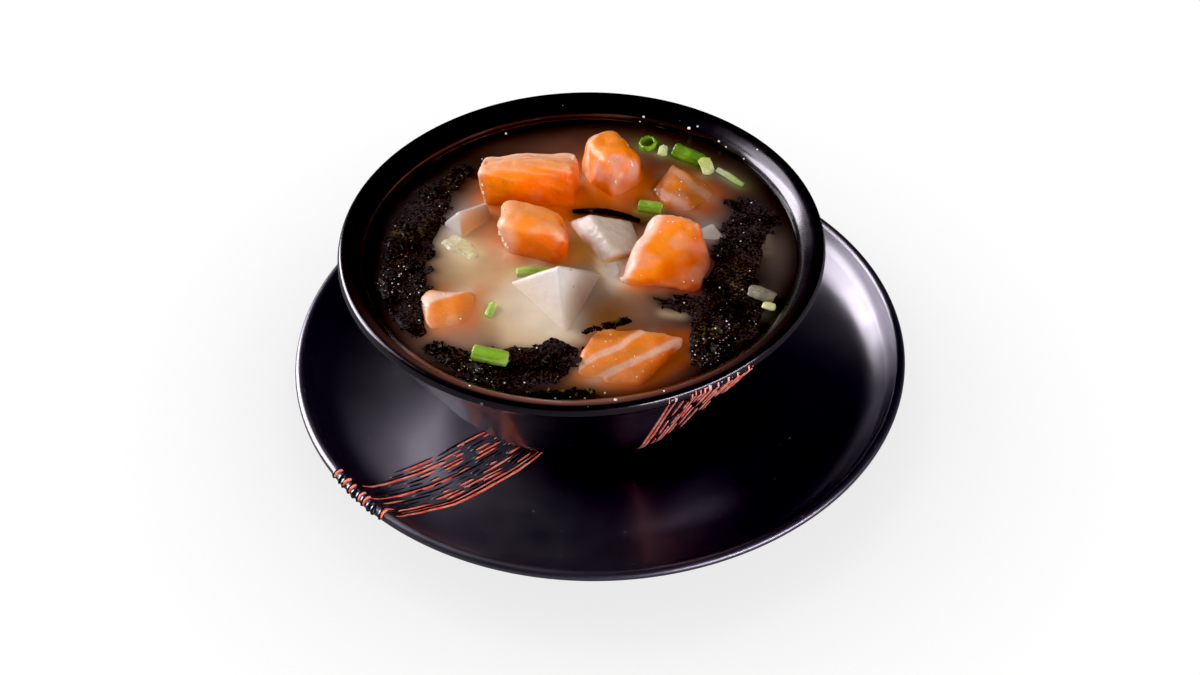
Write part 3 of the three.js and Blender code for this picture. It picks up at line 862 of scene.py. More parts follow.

# stripes: pale lines of fat, each the bearing of its run in degrees, its offset from the block's middle
# and its half width, and fat how pale they are. ledge: a flaky step across the top, as its bearing, offset
# and drop. deep: how far a painted shade of deep orange covers the side away from the light. pale: how far
# a painted pale light covers the lit sides and edges. sunk: the height in which it fades into the broth, and
# how far it does. soft: rounds of smoothing. rounded: rounds of coarser smoothing. lumps: how uneven its
# faces are. ragged: how torn its edges are. pink: how far pink patches show, in part a painted sheen. layers:
# how far the layers of its flakes show. flat: how much of its height over the broth it keeps. dusk: how far
# a painted shade darkens its far side.
SALMON = {
    "salmon_back_left": dict(
        stripes=[(2, 3.4, 0.4)], fat=0.5, pale=0.9, ledge=(1, 1.0, 1.5), deep=0.8, sunk=(2.5, 0.4), soft=9,
        lumps=1.3, layers=1.0,
    ),
    "salmon_back_middle": dict(
        stripes=[(62, 7.0, 0.7)], fat=0.45, deep=0.6, sunk=(5, 0.5), rounded=26, lumps=2.6, pale=0.15,
        pink=0.95, dusk=0.25,
    ),
    "salmon_back_right": dict(
        stripes=[(-40, 2.5, 1.6), (-40, -6.5, 0.8)], fat=0.35, deep=0.6, pale=0.45, sunk=(7, 0.6),
        rounded=10, lumps=2.4, ragged=1.2, pink=0.6, dusk=0.3,
    ),
    "salmon_middle_left": dict(
        stripes=[(-50, 8.5, 0.8), (-58, -11.5, 3.6)], fat=0.4, deep=0.9, sunk=(3, 0.45), rounded=12, soft=9,
        lumps=1.8, ragged=1.0, layers=0.5, pale=0.9, pink=0.5,
    ),
    "salmon_middle_right": dict(
        stripes=[(58, 8.6, 2.4)], fat=0.75, pale=0.25, deep=1.4, sunk=(3, 0.4), rounded=6, lumps=2.6,
        ragged=1.8, pink=0.5, dusk=0.5,
    ),
    "salmon_front": dict(
        stripes=[(30, 3.6, 1.0), (27, -4.0, 1.2)], fat=0.5, pale=0.5, deep=0.8, dusk=0.35, sunk=(3, 0.5),
        soft=10, layers=0.6,
    ),
    "salmon_left": dict(
        stripes=[(32, 5.0, 1.6)], deep=1.2, sunk=(3.5, 0.5), pale=0.8, rounded=14, lumps=2.4, ragged=1.4,
        flat=0.6, pink=0.4,
    ),
}


def beside(points, middle, bearing):
    """How far each point lies to the left of a line through middle along a bearing."""
    angle = math.radians(bearing)
    return (points[:, 0] - middle[0]) * -math.sin(angle) + (points[:, 1] - middle[1]) * math.cos(angle)


def stripe_share(points, middle, bearing, offset, half):
    """How far each point lies in a pale fat line that runs along a bearing."""
    away = beside(points, middle, bearing) + 0.5 * grain(points, 6, 3) + 0.25 * grain(points, 1.5, 4) - offset
    return 1 - ease(half * 0.5, half * 1.6, abs(away))


def salmon_block(
    node, seed, stripes, deep, sunk, fat=0.8, pale=0.7, soft=12, lumps=1.0, pink=0.15, layers=0.15, rounded=0,
    ragged=0.4, flat=1.0, dusk=0.1, ledge=None,
):
    mesh, points, out = smoothed(node, "salmon", soft, rounded)
    middle = points.mean(axis=0)
    fatty = np.max([stripe_share(points, middle, *stripe) for stripe in stripes], axis=0)
    relief = lumps * (0.6 * grain(points, 9, seed) + 0.3 * grain(points, 4, seed + 1))
    torn = ragged * edge_share(mesh, 40, 0.02, 0.2)
    relief += (0.1 + torn) * rough(points, 2.6, 2, seed + 5) - 0.15 * fatty
    layer = (points @ FLAKE_WAY + grain(points, 7, seed + 2)) / FLAKE_SIZE
    flakes = layers * abs(np.mod(layer, 1) - 0.5)
    relief += 0.12 * flakes
    if ledge:
        bearing, offset, drop = ledge
        lower = ease(-0.3, 0.3, beside(points, middle, bearing) - offset + 0.7 * grain(points, 4, seed + 8))
        near_top = ease(-8, 2, points[:, 2] - points[:, 2].max() + 4)
        relief -= drop * ease(0.2, 0.8, out[:, 2]) * lower * near_top
    points += out * relief[:, None]
    points[:, 2] -= (1 - flat) * np.maximum(points[:, 2] - LEVEL, 0)
    place(mesh, points)

    out = neighbour_mean(mesh, normals(mesh), 6)
    near_edge = edge_share(mesh, 12, 0.01, 0.10)
    far_edge = edge_share(mesh, 60, 0.02, 0.22)
    to_light = out @ LIGHT
    across = (points - middle) @ LIGHT
    across = across / abs(across).max() + 0.2 * grain(points, 7, seed + 6)
    shade = 1 - ease(-0.75, 0.55, 0.55 * to_light + 0.75 * across)
    # The side toward the light, which takes a painted pale light.
    veil_and_lit_side = ease(0.1, 0.9, to_light + 0.15 * grain(points, 4, seed + 4))
    high = 0.3 + 0.7 * ease(0.5, 7.0, points[:, 2] - LEVEL + 2.0 * grain(points, 5, seed + 11))
    # Painted light and shade: shaded flesh away from the light, lit pale flesh on lit sides and edges, white
    # glints on edges toward the light, and pink patches in part a painted sheen.
    colour = FLESH
    for tone, share in (
        (SHADED_FLESH, deep * ease(0, 0.55, shade)),
        (DEEPLY_SHADED_FLESH, 0.85 * deep * ease(0.6, 1.0, shade)),
        (LIT_PALE_FLESH, 0.6 * pale * veil_and_lit_side * high),
        (LIT_PALE_FLESH, 0.75 * pale * far_edge * high * ease(-0.3, 0.45, to_light)),
        (FAT_AND_GLINT, 0.3 * near_edge * high * ease(-0.2, 0.5, to_light)),
        (PINK_FLESH, pink * ease(0.15, 0.6, grain(points, 6, seed + 12))),
        (LIT_PALE_FLESH, 0.35 * ease(0.25, 0.5, flakes) * ease(0, 0.6, out[:, 2])),
        (FAT_AND_GLINT, fat * fatty),
    ):
        colour = blend(colour, tone, share)
    # A painted shade that darkens the block's far side.
    sideways = (points - middle) @ DUSK_WAY
    colour *= 1 - dusk * ease(-0.5, 1.0, sideways / abs(sideways).max())[:, None]
    paint(mesh, dipped(points, colour, *sunk))
    piece(f"{node}_flesh", mesh, salmon, "salmon", node)
    return mesh


CURD = srgb(208, 199, 195)
CURD_DULL = srgb(206, 178, 146)
# An amber tone, painted as shade.
SHADED_CURD = srgb(178, 112, 34)
SPECK = srgb(40, 24, 14)

# crumble: how rough the top is. tan: how far the top is a duller tone. amber: how far a side away from
# the light takes a painted amber shade. sunk: the height in which it fades into the broth, and how far it
# does. base: how far its sides take a painted amber shade at the broth. specks: how many dark specks lie on
# it.
TOFU = {
    "tofu_front": dict(crumble=0.03, tan=0.0, amber=0.3, sunk=(11, 0.8), specks=2),
    "tofu_middle": dict(crumble=0.12, tan=0.1, amber=0.3, sunk=(2, 0.4)),
    "tofu_back": dict(crumble=0.14, tan=0.45, amber=0.1, sunk=(1.5, 0.6), base=1.02),
    "tofu_left": dict(crumble=0.05, tan=0.1, amber=0.9, sunk=(1.5, 0.5)),
    "tofu_right": dict(crumble=0.08, tan=0.2, amber=0.3, sunk=(4, 0.6)),
}


def tofu_block(node, seed, crumble, tan, amber, sunk, specks=0, base=0):
    mesh, points, out = smoothed(node, "tofu", 4)
    upward = ease(0.55, 0.9, out[:, 2])
    relief = 0.12 * grain(points, 7, seed) + 0.02 * rough(points, 1.2, 2, seed + 1)
    relief += crumble * upward * (rough(points, 2.2, 3, seed + 3) + creases(points, 1.6, 2, seed + 4))
    points += out * relief[:, None]
    place(mesh, points)
    out = neighbour_mean(mesh, normals(mesh), 5)
    to_light = out @ LIGHT
    height = points[:, 2] - LEVEL
    shaded = 1 - ease(-0.25, 0.3, to_light)
    low = 1 - ease(1.0, 10.0, height + 1.2 * grain(points, 5, seed + 6))
    colour = blend(CURD, CURD_DULL, tan * upward)
    # A painted amber shade on the side away from the light, deepest near the broth.
    colour = blend(colour, SHADED_CURD, amber * shaded * (0.04 + 0.9 * low))
    # A painted highlight: the edges toward the light are whiter.
    colour = blend(colour, CURD, 0.8 * edge_share(mesh, 8, 0.03, 0.15) * ease(-0.5, 0.2, to_light))
    # A painted amber shade on the sides at the broth.
    colour = blend(colour, SHADED_CURD, base * (1 - ease(0.3, 2.5, height)) * (1 - ease(0.6, 0.9, out[:, 2])))
    draw = random.Random(seed)
    dry = np.flatnonzero((height > 5) & (to_light < -0.1)).tolist()
    for _ in range(specks):
        near = np.linalg.norm(points - points[draw.choice(dry)], axis=1)
        colour = blend(colour, SPECK, 0.8 * (1 - ease(0.15, 0.5, near)))
    paint(mesh, dipped(points, colour, *sunk))
    piece(f"{node}_curd", mesh, tofu, "tofu", node)
    return mesh


# ---- Seaweed ----
SEAWEED = {"seaweed_left": 31, "seaweed_front": 32, "seaweed_right": 33}
OLIVE = srgb(98, 82, 46)
NIGHT = srgb(24, 17, 14)
RUST = srgb(120, 78, 48)
VEIL = srgb(58, 48, 52)
MOSS = srgb(122, 112, 58)
FLAKES_A_CLUMP = 46
CRUMBS_A_CLUMP = 26

# How far the clumps' flakes and crumbs keep from the bowl's wall, and the flakes from some of the greens.
FLAKE_TO_WALL = 2.2
CRUMB_TO_WALL = 1.5
FLAKE_TO_GREEN = 3.6
KEPT_CLEAR = ["onion_front", "onion_sliver_left", "onion_sliver_right", "leek_left", "leek_right"]

# How high each strip rides over its solid, how creased it is and its loose scraps.
STRIPS = {
    "seaweed_strip_front": (0.9, 0.35, 12),
    "seaweed_strip_back": (0.2, 0.12, 0),
    "seaweed_strip_rim": (0.3, 0.35, 5),
}

LEAF_CELLS = 6
LEAF_THICKNESS = 0.3


def sheet_faces(cells):
    """Faces of a closed sheet: its front, its back and the rim between them."""
    index = np.arange(cells * cells).reshape(cells, cells)
    count = cells * cells
    faces = []
    for i, j in itertools.product(range(cells - 1), repeat=2):
        front = [index[i, j], index[i + 1, j], index[i + 1, j + 1], index[i, j + 1]]
        faces += [front, [count + k for k in reversed(front)]]
    rim = [*index[0], *index[1:, -1], *index[-1, -2::-1], *index[-2:0:-1, 0]]
    return faces + [[a, b, b + count, a + count] for a, b in zip(rim, rim[1:] + rim[:1])]


LEAF_FACES = sheet_faces(LEAF_CELLS)


def leaf(heap, middle, length, width, turn, tilt, seed):
    """A crumpled scrap of leaf: a thin wavy sheet with a front and a back."""
    ticks = np.linspace(-0.5, 0.5, LEAF_CELLS)
    grid = np.array([(u, v) for u in ticks for v in ticks])
    ragged = 1 + 0.28 * grain(np.column_stack([grid * 3, np.full(len(grid), seed * 0.37)]), 1, seed)
    flat = np.column_stack([grid * (length, width) * ragged[:, None], np.zeros(len(grid))])
    flat[:, 2] = 0.16 * length * rough(flat + 7 * seed, length * 0.45, 2, seed) + 0.9 * grid[:, 0] ** 2
    rotation = np.eye(3)
    for angle, axis in ((turn, "Z"), (tilt[0], "X"), (tilt[1], "Y")):
        rotation = rotation @ np.array(Matrix.Rotation(angle, 3, axis))
    flat = flat @ rotation.T + middle
    half = rotation[:, 2] * LEAF_THICKNESS / 2
    heap.add(np.vstack([flat + half, flat - half]), LEAF_FACES)


def tilt_from(draw, most):
    return draw.uniform(-most, most), draw.uniform(-most, most)


def centre_of(node):
    low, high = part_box(node)
    return np.array([(low.x + high.x) / 2, (low.y + high.y) / 2]) / MM


def seaweed_clump(node, seed):
    """A crumpled mass of wet leaf, grained all over, with small scraps at its surface."""
    mesh, points, out = smoothed(node, "clump", 8)
    folds = creases(points, 7, 3, seed)
    grains = creases(points, 1.2, 2, seed + 9)
    above = ease(LEVEL - 2.5, LEVEL + 0.5, points[:, 2])
    points += out * ((0.6 * (folds - 0.4) + 0.35 * (grains - 0.4)) * (0.35 + 0.65 * above))[:, None]
    points[:, 2] -= 0.45 * np.maximum(points[:, 2] - LEVEL, 0)

    draw = random.Random(seed)
    clear = [centre_of(other) for other in KEPT_CLEAR]
    top = np.flatnonzero((points[:, 2] > LEVEL + 0.1) & (out[:, 2] > 0.1)).tolist()
    heap = Heap()
    for number in range(FLAKES_A_CLUMP):
        spot = points[draw.choice(top)]
        size = draw.uniform(1.5, 4.5)
        if min(np.linalg.norm(spot[:2] - middle) for middle in clear) < FLAKE_TO_GREEN + size / 2:
            continue
        tilt = tilt_from(draw, 0.25)
        centre = spot + np.array([0, 0, draw.uniform(-0.15, 0.1)])
        away = centre[:2] - SOUP_MIDDLE[:2]
        centre[:2] = SOUP_MIDDLE[:2] + away * min(1, (SOUP_RADIUS - FLAKE_TO_WALL) / np.linalg.norm(away))
        width = size * draw.uniform(0.4, 0.9)
        leaf(heap, centre, size, width, draw.uniform(0, math.pi), tilt, seed * 1000 + number)
    edge = np.flatnonzero(abs(points[:, 2] - LEVEL) < 0.3).tolist()
    for number in range(CRUMBS_A_CLUMP):
        pick = draw.choice(edge)
        spot = points[pick] + out[pick] * (1, 1, 0) * abs(draw.gauss(0, 0.8))
        if np.linalg.norm(spot[:2] - SOUP_MIDDLE[:2]) > SOUP_RADIUS - CRUMB_TO_WALL:
            continue
        spot[2] = LEVEL + draw.uniform(-0.05, 0.1)
        size = draw.uniform(0.8, 3.0)
        tilt = tilt_from(draw, 0.2)
        width = size * draw.uniform(0.4, 0.9)
        leaf(heap, spot, size, width, draw.uniform(0, math.pi), tilt, seed * 2000 + number)
    heap.add(points, faces_of(mesh))
    whole = heap.mesh(node)
    places = coordinates(whole)
    ridges = ease(0.35, 0.85, creases(places, 1.2, 2, seed + 9))
    patches = ease(-0.1, 0.7, grain(places, 9, seed + 3))
    tone = blend(NIGHT, OLIVE, ridges * (0.1 + 0.9 * patches))
    tone = blend(tone, RUST, 0.45 * ridges * ease(0.0, 0.7, grain(places, 7, seed + 4)))
    tone = blend(tone, MOSS, 0.5 * patches * ease(0.5, 0.75, grain(places, 1.1, seed + 6)))
    veil_and_lit_side = 1 - ease(LEVEL, LEVEL + 1.4, places[:, 2] + grain(places, 6, seed + 7))
    paint(whole, blend(tone, VEIL, 0.55 * veil_and_lit_side))
    piece(f"{node}_leaves", whole, seaweed, "seaweed", node)
    return whole


def seaweed_strip(node, seed):
    """One creased leaf that lies by itself."""
    lift, creased, scraps = STRIPS[node]
    mesh, points, out = smoothed(node, "strip", 0)
    points += out * (creased * creases(points, 1.6, 3, seed) + 0.05)[:, None]
    points[:, 2] += lift
    heap = Heap()
    heap.add(points, faces_of(mesh))
    draw = random.Random(seed)
    for number in range(scraps):
        size = draw.uniform(1.4, 2.2)
        tilt = tilt_from(draw, 0.4)
        spot = points[draw.randrange(len(points))]
        leaf(heap, spot, size, size * 0.7, draw.uniform(0, math.pi), tilt, seed * 500 + number)
    whole = heap.mesh(node)
    paint(whole, blend(NIGHT, OLIVE, ease(0.2, 0.9, grain(coordinates(whole), 2, seed))))
    piece(f"{node}_leaf", whole, seaweed, "seaweed", node)
    return whole


# ---- Spring onion and leek ----
GREEN = srgb(138, 178, 52)
DARK_GREEN = srgb(98, 136, 34)
LIME = srgb(202, 216, 128)
PALE_GREEN = srgb(224, 223, 186)

# The outer and the inner colour of each slice, and whether its hole runs along its shortest way.
RINGS = {
    "onion_front": (GREEN, LIME, False),
    "onion_middle": (GREEN, LIME, False),
    "onion_back_large": (DARK_GREEN, GREEN, False),
    "onion_back_small": (GREEN, DARK_GREEN, True),
}
# The colours of the two ends of each sliver, and its slot.
SLIVERS = {
    "onion_sliver_middle": (GREEN, LIME, "onion"),
    "onion_sliver_pale": (PALE_GREEN, LIME, "onion"),
    "onion_sliver_yellow": (srgb(214, 218, 120), PALE_GREEN, "onion"),
    "onion_sliver_strip": (srgb(150, 172, 96), PALE_GREEN, "onion"),
    "onion_sliver_left": (LIME, GREEN, "onion"),
    "onion_sliver_right": (srgb(214, 210, 160), PALE_GREEN, "onion"),
    "leek_left": (srgb(226, 218, 172), srgb(238, 232, 200), "leek"),
    "leek_right": (srgb(126, 116, 104), srgb(160, 150, 134), "leek"),
}
# Rounds of smoothing, height of the waves, height in which it fades into the broth, and material.
CUTS = {"onion": (6, 0.12, 1.2, greenery), "leek": (30, 0.45, 2.2, pale_leek)}


def main_axes(points):
    """The middle and the three main directions of a cloud of points, the longest first."""
    middle = points.mean(axis=0)
    values, vectors = np.linalg.eigh(np.cov((points - middle).T))
    return middle, vectors[:, np.argsort(values)[::-1]].T


def onion_ring(node, seed, outer_colour, inner_colour, thin):
    """A slice of a hollow stalk with a thinner layer inside it."""
    mesh, points, out = smoothed(node, "ring", 0)
    points = neighbour_mean(mesh, points, 8)
    middle, axes = main_axes(points)
    if thin:
        axes = axes[::-1]
    along, first, second = ((points - middle) @ axis for axis in axes)
    around = np.arctan2(first, second)
    points += out * (0.05 * np.sin(around * 14) + 0.08 * grain(points, 1.5, seed))[:, None]
    place(mesh, points)
    reach = np.linalg.norm(points - middle - np.outer(along, axes[0]), axis=1)
    colour = blend(inner_colour, outer_colour, ease(reach.max() * 0.62, reach.max() * 0.95, reach))
    colour = blend(colour, inner_colour, 0.6 * ease(0.0, 0.8, grain(points, 2.5, seed + 2)))
    paint(mesh, dipped(points, colour, 1.2, 0.5))
    piece(f"{node}_slice", mesh, greenery, "onion", node)
    return mesh


def green_sliver(node, seed, first, second, slot):
    """A cut strip of green with fine veins along it."""
    rounds, wave, depth, material = CUTS[slot]
    mesh, points, out = smoothed(node, "sliver", rounds)
    middle, axes = main_axes(points)
    along, across = (points - middle) @ axes[0], (points - middle) @ axes[1]
    points += out * (wave * rough(points, 3.2, 3, seed) + 0.05 * np.sin(across * 6))[:, None]
    place(mesh, points)
    veins = 0.5 + 0.5 * np.sin(across * 5 + 0.8 * grain(points, 3, seed + 1))
    share = 0.5 + 0.5 * along / abs(along).max()
    colour = blend(first, second, 0.55 * share + 0.4 * veins * ease(0, 1, share))
    paint(mesh, dipped(points, colour, depth, 0.6))
    piece(f"{node}_cut", mesh, material, slot, node)
    return mesh


# ---- Broth surface ----
SOUP_SPOKES = 420
SOUP_RINGS = 104
SOUP_BOTTOM = -44.6
# The broth's sides under its surface, as radius and height.
SKIRT = [(SOUP_RADIUS - 0.2, -1.5), (60.5, -10.6), (54.4, -21), (47, -31.6), (35, -41), (20, -44.2)]
SEARCH_REACH = 20.0
DOWN = Vector((0, 0, -1))


def painted_tree(meshes):
    """A search tree over some meshes, and the painted colour of each face in it."""
    points, faces, tones = [], [], []
    count = 0
    for mesh in meshes:
        colours = rows_of(mesh.color_attributes["paint"].data, "color", 4, np.float32)[:, :3]
        own = faces_of(mesh)
        points.append(coordinates(mesh))
        faces += [[count + k for k in face] for face in own]
        tones += [colours[face[0]] for face in own]
        count += len(mesh.vertices)
    return BVHTree.FromPolygons(np.concatenate(points).tolist(), faces), np.array(tones)


def found_by(search, places, tones):
    """Distances and painted colours where a search from each place hits."""
    hits = [search(Vector(place)) for place in places]
    away = np.array([SEARCH_REACH if hit[3] is None else hit[3] for hit in hits])
    return away, tones[[0 if hit[2] is None else hit[2] for hit in hits]]


def soup_places():
    """Places over the broth's surface, in rings that lie closer together near the wall."""
    shares = 1 - (1 - np.arange(1, SOUP_RINGS + 1) / SOUP_RINGS) ** 1.15
    rings = [ring(share * SOUP_RADIUS, 0, SOUP_SPOKES) for share in shares]
    return np.vstack([[0, 0, 0], *rings]) + SOUP_MIDDLE


def soup_mesh(places, closest):
    """The broth: a fine wavy surface that climbs a little at the wall and at all that stands in it."""
    reach = np.hypot(*(places - SOUP_MIDDLE)[:, :2].T)
    surface = places.copy()
    surface[:, 2] += 0.15 * np.exp(-closest) + 0.4 * np.exp(reach - SOUP_RADIUS)
    surface[:, 2] += 0.06 * grain(places, 12, 2) + 0.012 * grain(places, 4, 5) - 0.10
    under = [*(ring(radius, height, SOUP_SPOKES) for radius, height in SKIRT), [[0, 0, SOUP_BOTTOM]]]
    points = np.vstack([surface, np.vstack(under) + SOUP_MIDDLE])
    return mesh_of("soup", points, ring_faces(SOUP_RINGS + len(SKIRT), SOUP_SPOKES))


# How far things show through the broth that covers them or laps at them: beside them, where their colour
# spreads into the broth in part as a painted glow, and above them, each as the share at the thing itself and
# the distance in which it fades.
SHOWN = {
    "tofu": ((0.9, 4.0), (0.95, 5.0)),
    "salmon": ((0.85, 2.6), (0.85, 3.5)),
    "seaweed": ((0.85, 1.7), (0.9, 2.4)),
    "green": ((0.5, 0.9), (0.8, 1.5)),
}


def soup(near):
    """The broth, toned by all that stands in it or under it. near: the painted meshes of each kind."""
    places = soup_places()
    colour = broth_colour(places)
    closest = np.full(len(places), SEARCH_REACH)
    for kind, meshes in near.items():
        tree, tones = painted_tree(meshes)
        beside_it, above_it = SHOWN[kind]
        # In part a painted glow: the colour of what stands in the broth spreads into the broth around it.
        away, tone = found_by(lambda spot: tree.find_nearest(spot, SEARCH_REACH), places, tones)
        colour = blend(colour, tone, beside_it[0] * np.exp(-away / beside_it[1]))
        closest = np.minimum(closest, away)
        away, tone = found_by(lambda spot: tree.ray_cast(spot, DOWN, SEARCH_REACH), places, tones)
        share = above_it[0] * np.exp(-away / above_it[1])
        colour = blend(colour, tone, share * (away < SEARCH_REACH))
    flat = places[:, :2] - SOUP_MIDDLE[:2]
    colour = over_sunken(colour, flat)
    # A painted shade where the wall meets the broth.
    colour = blend(colour, SHADED_BROTH, 0.75 * ease(SOUP_RADIUS - 7, SOUP_RADIUS, np.hypot(*flat.T)))
    mesh = soup_mesh(places, closest)
    # The broth's sides under its surface, painted in shade.
    under = np.tile(SHADED_BROTH, (len(mesh.vertices) - len(places), 1))
    paint(mesh, neighbour_mean(mesh, np.vstack([colour, under]), 10))
    piece("soup_broth", mesh, broth, "broth", "soup")


# ---- Droplets and beads of wet ----
BALL_SQUASH = 0.8
BALL = turned([(math.sin(tilt), BALL_SQUASH * math.cos(tilt)) for tilt in np.linspace(0, math.pi, 6)], 8)


def ball(heap, middle, radius):
    """A small round drop."""
    points, faces = BALL
    heap.add(points * radius + middle, faces)


# Droplets on the broth and the wall, each as its place in the bowl, its height over the broth and its radius.
DROPLETS = [
    (21.5, 63.9, 2.8, 0.45), (20.3, 63.6, 1.1, 0.3), (36.2, 56.9, 2.9, 0.6), (39.0, 56.3, 4.0, 0.35),
    (45.6, 49.6, 2.8, 0.4), (47.8, 47.2, 2.3, 0.3), (53.2, 40.9, 2.1, 0.35), (57.4, 41.2, 5.5, 0.35),
    (-24.3, 60.4, 0.2, 0.45), (-31.9, 47.4, 0.0, 0.3), (-50.2, -43.2, 0.3, 0.3), (-28.7, -54.7, 0.1, 0.35),
    (-26.0, -58.9, 0.1, 0.35), (-15.6, -64.6, 0.3, 0.3), (-8.4, -64.1, 0.2, 0.35), (-4.1, -63.5, 0.2, 0.35),
    (0.1, -64.5, 0.3, 0.3), (5.9, -62.3, 0.1, 0.3), (8.8, -71.2, 6.0, 0.55), (22.6, -68.3, 6.1, 0.3),
    (31.0, -57.5, 0.1, 0.3), (-32.5, -63.8, 5.9, 0.35),
]

# Specks of wet, painted pale white as glints: how many on each piece, and the middle of the patch most of
# them gather in.
WET_SPECKS = {
    "seaweed_left_leaves": (110, (-57, -12)),
    "seaweed_front_leaves": (60, (-30, -56)),
    "seaweed_right_leaves": (110, (37, -48)),
    "salmon_front_flesh": (26, (14, -44)),
    "salmon_back_right_flesh": (12, (30, 30)),
    "salmon_back_middle_flesh": (8, (14, 38)),
    "salmon_middle_right_flesh": (10, (22, 2)),
}
SPECK_SPREAD = 8.0


def wet_specks(shown, seed, heap):
    """Small drops on the upper side of a piece, most of them near one place."""
    count, patch = WET_SPECKS[shown.name]
    draw = random.Random(seed)
    points = coordinates(shown.data)
    away = np.linalg.norm(points[:, :2] - SOUP_MIDDLE[:2] - patch, axis=1)
    open_above = (normals(shown.data)[:, 2] > 0.2) * (points[:, 2] > LEVEL + 0.3)
    chance = (0.12 + np.exp(-((away / SPECK_SPREAD) ** 2))) * open_above
    for pick in draw.choices(range(len(points)), weights=chance.tolist(), k=count):
        ball(heap, points[pick], 0.07 + 0.22 * draw.random() ** 3)


# Beads of wet on the salmon, painted pale white as glints: for each block, places in the bowl, height over
# the broth and radius.
BEADS = {
    "salmon_middle_left_flesh": [
        (-25.5, 8.5, 14.0, 0.5), (-25.4, 5.2, 10.6, 0.45), (-25.2, 3.8, 8.6, 0.5), (-25.4, 2.5, 6.6, 0.6),
        (-25.1, 0.5, 5.1, 0.5), (-24.6, -0.8, 3.6, 0.55), (-24.1, -1.5, 2.1, 0.35),
    ],
    "salmon_back_middle_flesh": [
        (19.5, 30.7, 9.6, 0.6), (18.6, 31.6, 10.6, 0.35), (8.4, 27.6, 15.6, 0.3), (11.8, 23.6, 5.6, 0.5),
        (1.7, 31.0, 11.6, 0.35),
    ],
    "salmon_back_right_flesh": [
        (22.7, 27.4, 2.1, 0.6), (24.2, 25.3, 1.6, 0.5), (25.8, 22.6, 1.1, 0.45), (32.7, 28.4, 4.6, 0.3),
        (31.6, 22.5, 3.6, 0.3),
    ],
    "salmon_middle_right_flesh": [
        (11.7, -10.2, 4.6, 0.45), (10.8, -13.9, 1.6, 0.5), (12.5, -10.1, 6.6, 0.4), (17.4, -6.5, 12.6, 0.45),
        (22.4, -1.7, 15.6, 0.4), (26.4, -1.2, 15.6, 0.35), (29.9, -19.3, 5.6, 0.3), (33.4, -18.3, 3.6, 0.35),
    ],
    "salmon_back_left_flesh": [
        (-31.8, 23.1, 7.6, 0.4), (-32.0, 22.9, 4.6, 0.5), (-31.0, 23.7, 1.6, 0.5), (-12.2, 31.8, 14.6, 0.4),
    ],
    "salmon_left_flesh": [(-47.7, -24.5, 1.6, 0.5), (-36.3, -30.3, 1.6, 0.3), (-41.7, -19.1, 3.6, 0.35)],
}


def beads(heap):
    """Beads of wet that cling to the skin of the salmon nearest to their places, each drawn out downwards."""
    for name, places in BEADS.items():
        tree, _ = painted_tree([bpy.data.objects[name].data])
        for x, y, height, radius in places:
            place_on, _, _, _ = tree.find_nearest(Vector(SOUP_MIDDLE + (x, y, height)))
            draw = random.Random(round(10 * x))
            for step in range(3):
                offset = np.array([draw.uniform(-0.3, 0.3), 0, -0.6 * step]) * radius * 1.4
                ball(heap, np.array(place_on) + offset, radius * draw.uniform(0.45, 0.9))


def droplets():
    heap = Heap()
    for x, y, height, radius in DROPLETS:
        ball(heap, SOUP_MIDDLE + (x, y, height), radius)
    piece("broth_droplets", heap.mesh("broth_droplets"), glint_drop, "broth")
    for kind in ("seaweed", "salmon"):
        heap = Heap()
        for number, name in enumerate(WET_SPECKS):
            if name.startswith(kind):
                wet_specks(bpy.data.objects[name], 80 + number, heap)
        if kind == "salmon":
            beads(heap)
        piece(f"{kind}_wet_specks", heap.mesh(f"{kind}_wet_specks"), glint_drop, kind)


# ---- Floor, camera and light ----
def by_ray(tree, first, second, output):
    """The second shader for what the camera sees itself, and the first for all other light."""
    ray = new_node(tree, "LightPath")
    mix = new_node(tree, "MixShader", Fac=ray.outputs["Is Camera Ray"], n1=first, n2=second)
    wire(tree, output, Surface=mix.outputs["Shader"])


FLOOR_HALF = 4000.0


def floor():
    """A pale glowing floor, with a painted soft shadow near what stands on it, that throws little light back
    at the dark lacquer.
    """
    corners = [(x * FLOOR_HALF, y * FLOOR_HALF, 0) for x, y in ((-1, -1), (1, -1), (1, 1), (-1, 1))]
    mesh = mesh_of("floor", corners, [(0, 1, 2, 3)])
    material, tree, shader = new_material(
        "floor",
        Base_Color=(0.06, 0.06, 0.06, 1),
        Roughness=0.9,
        Specular_IOR_Level=0.0,
        Emission_Color=(1, 1, 1, 1),
    )
    # A painted shadow: the floor's glow dims near what stands on it.
    nearness = new_node(tree, "AmbientOcclusion", {"samples": 8}, Distance=0.12).outputs["AO"]
    openness = new_node(tree, "Math", {"operation": "POWER"}, n0=nearness, n1=5.0).outputs["Value"]
    wire(tree, shader, Emission_Strength=ranged_in(tree, openness, 0.0, 1.0, 0.79, 0.97))
    dim = new_node(tree, "BsdfDiffuse", Color=(0.16, 0.16, 0.16, 1))
    by_ray(tree, dim.outputs["BSDF"], shader.outputs["BSDF"], tree.nodes["Material Output"])
    mesh.materials.append(material)
    shown = linked("floor", mesh)


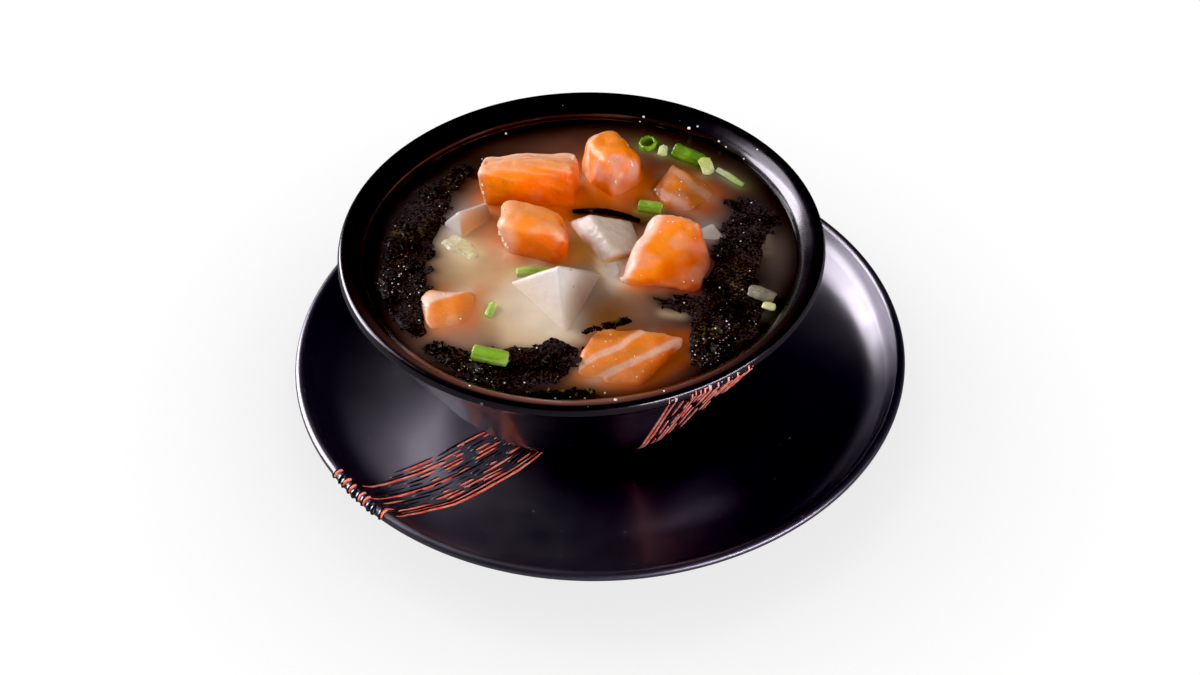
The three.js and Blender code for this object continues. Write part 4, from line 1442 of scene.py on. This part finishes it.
def softbox(name, bearing, elevation, distance, size, watts, colour=(1, 1, 1), glossy=True):
    """A square light that looks at the bowl from a bearing and an elevation in degrees. A light that isn't
    glossy leaves no reflection."""
    turn, rise = math.radians(bearing), math.radians(elevation)
    way = Vector((math.cos(turn) * math.cos(rise), math.sin(turn) * math.cos(rise), math.sin(rise)))
    data = bpy.data.lights.new(name, "AREA")
    data.shape = "RECTANGLE"
    data.size, data.size_y = size
    data.energy = watts
    data.color = colour
    lamp = linked(name, data)
    lamp.location = Vector((0, 0, 0.05)) + way * distance
    lamp.rotation_euler = way.to_track_quat("Z", "Y").to_euler()
    lamp.visible_camera = False
    lamp.visible_glossy = glossy


# The camera looks along +Y, down by its tilt and turned about its own axis by its roll.
CAMERA_TILT = math.radians(43.4)
CAMERA_ROLL = math.radians(-1.64)
CAMERA_PLACE = Vector((0.00024, -0.46896, 0.46728))
WARM_WHITE = (1.0, 0.965, 1.0)


def studio():
    data = bpy.data.cameras.new("camera")
    data.lens = 60
    data.sensor_width = 36
    camera = linked("camera", data)
    turn = Matrix.Rotation(math.pi / 2 - CAMERA_TILT, 4, "X") @ Matrix.Rotation(CAMERA_ROLL, 4, "Z")
    camera.matrix_world = Matrix.Translation(CAMERA_PLACE) @ turn
    bpy.context.scene.camera = camera

    view = bpy.context.scene.view_settings
    view.view_transform = "Standard"
    view.use_curve_mapping = True
    view.curve_mapping.black_level = (0.006, 0.006, 0.006)
    view.curve_mapping.update()

    world = bpy.data.worlds.new("studio")
    world.use_nodes = True
    tree = world.node_tree
    dim = tree.nodes["Background"]
    wire(tree, dim, Color=(0.9, 0.92, 1.0, 1), Strength=0.015)
    pale = new_node(tree, "Background", Color=(1, 1, 1, 1), Strength=1.0)
    by_ray(tree, dim.outputs["Background"], pale.outputs["Background"], tree.nodes["World Output"])
    bpy.context.scene.world = world

    softbox("key", 153, 17, 1.0, (0.7, 0.58), 12.7, WARM_WHITE)
    softbox("high_key", 149, 38, 1.0, (0.46, 0.4), 2.1, WARM_WHITE)
    softbox("edge", -44, 2.5, 1.2, (1.1, 0.12), 8.5, (0.95, 0.88, 1.0))
    softbox("fill", -60, 28, 1.2, (1.0, 0.8), 13, (1.0, 0.99, 0.97), glossy=False)
    softbox("top", -80, 74, 1.2, (0.5, 0.5), 2.4, glossy=False)


studio()
floor()
dishes()
saucer_streaks()
bowl_streaks()
salmon_meshes = [salmon_block(node, 11 + k, **facts) for k, (node, facts) in enumerate(SALMON.items())]
tofu_meshes = [tofu_block(node, 21 + k, **facts) for k, (node, facts) in enumerate(TOFU.items())]
seaweed_meshes = [seaweed_clump(node, seed) for node, seed in SEAWEED.items()]
seaweed_meshes += [seaweed_strip(node, 40 + k) for k, node in enumerate(STRIPS)]
green_meshes = [onion_ring(node, 50 + k, *facts) for k, (node, facts) in enumerate(RINGS.items())]
green_meshes += [green_sliver(node, 60 + k, *facts) for k, (node, facts) in enumerate(SLIVERS.items())]
soup({"tofu": tofu_meshes, "salmon": salmon_meshes, "seaweed": seaweed_meshes, "green": green_meshes})
droplets()


def write_sizes():
    import json


write_sizes()
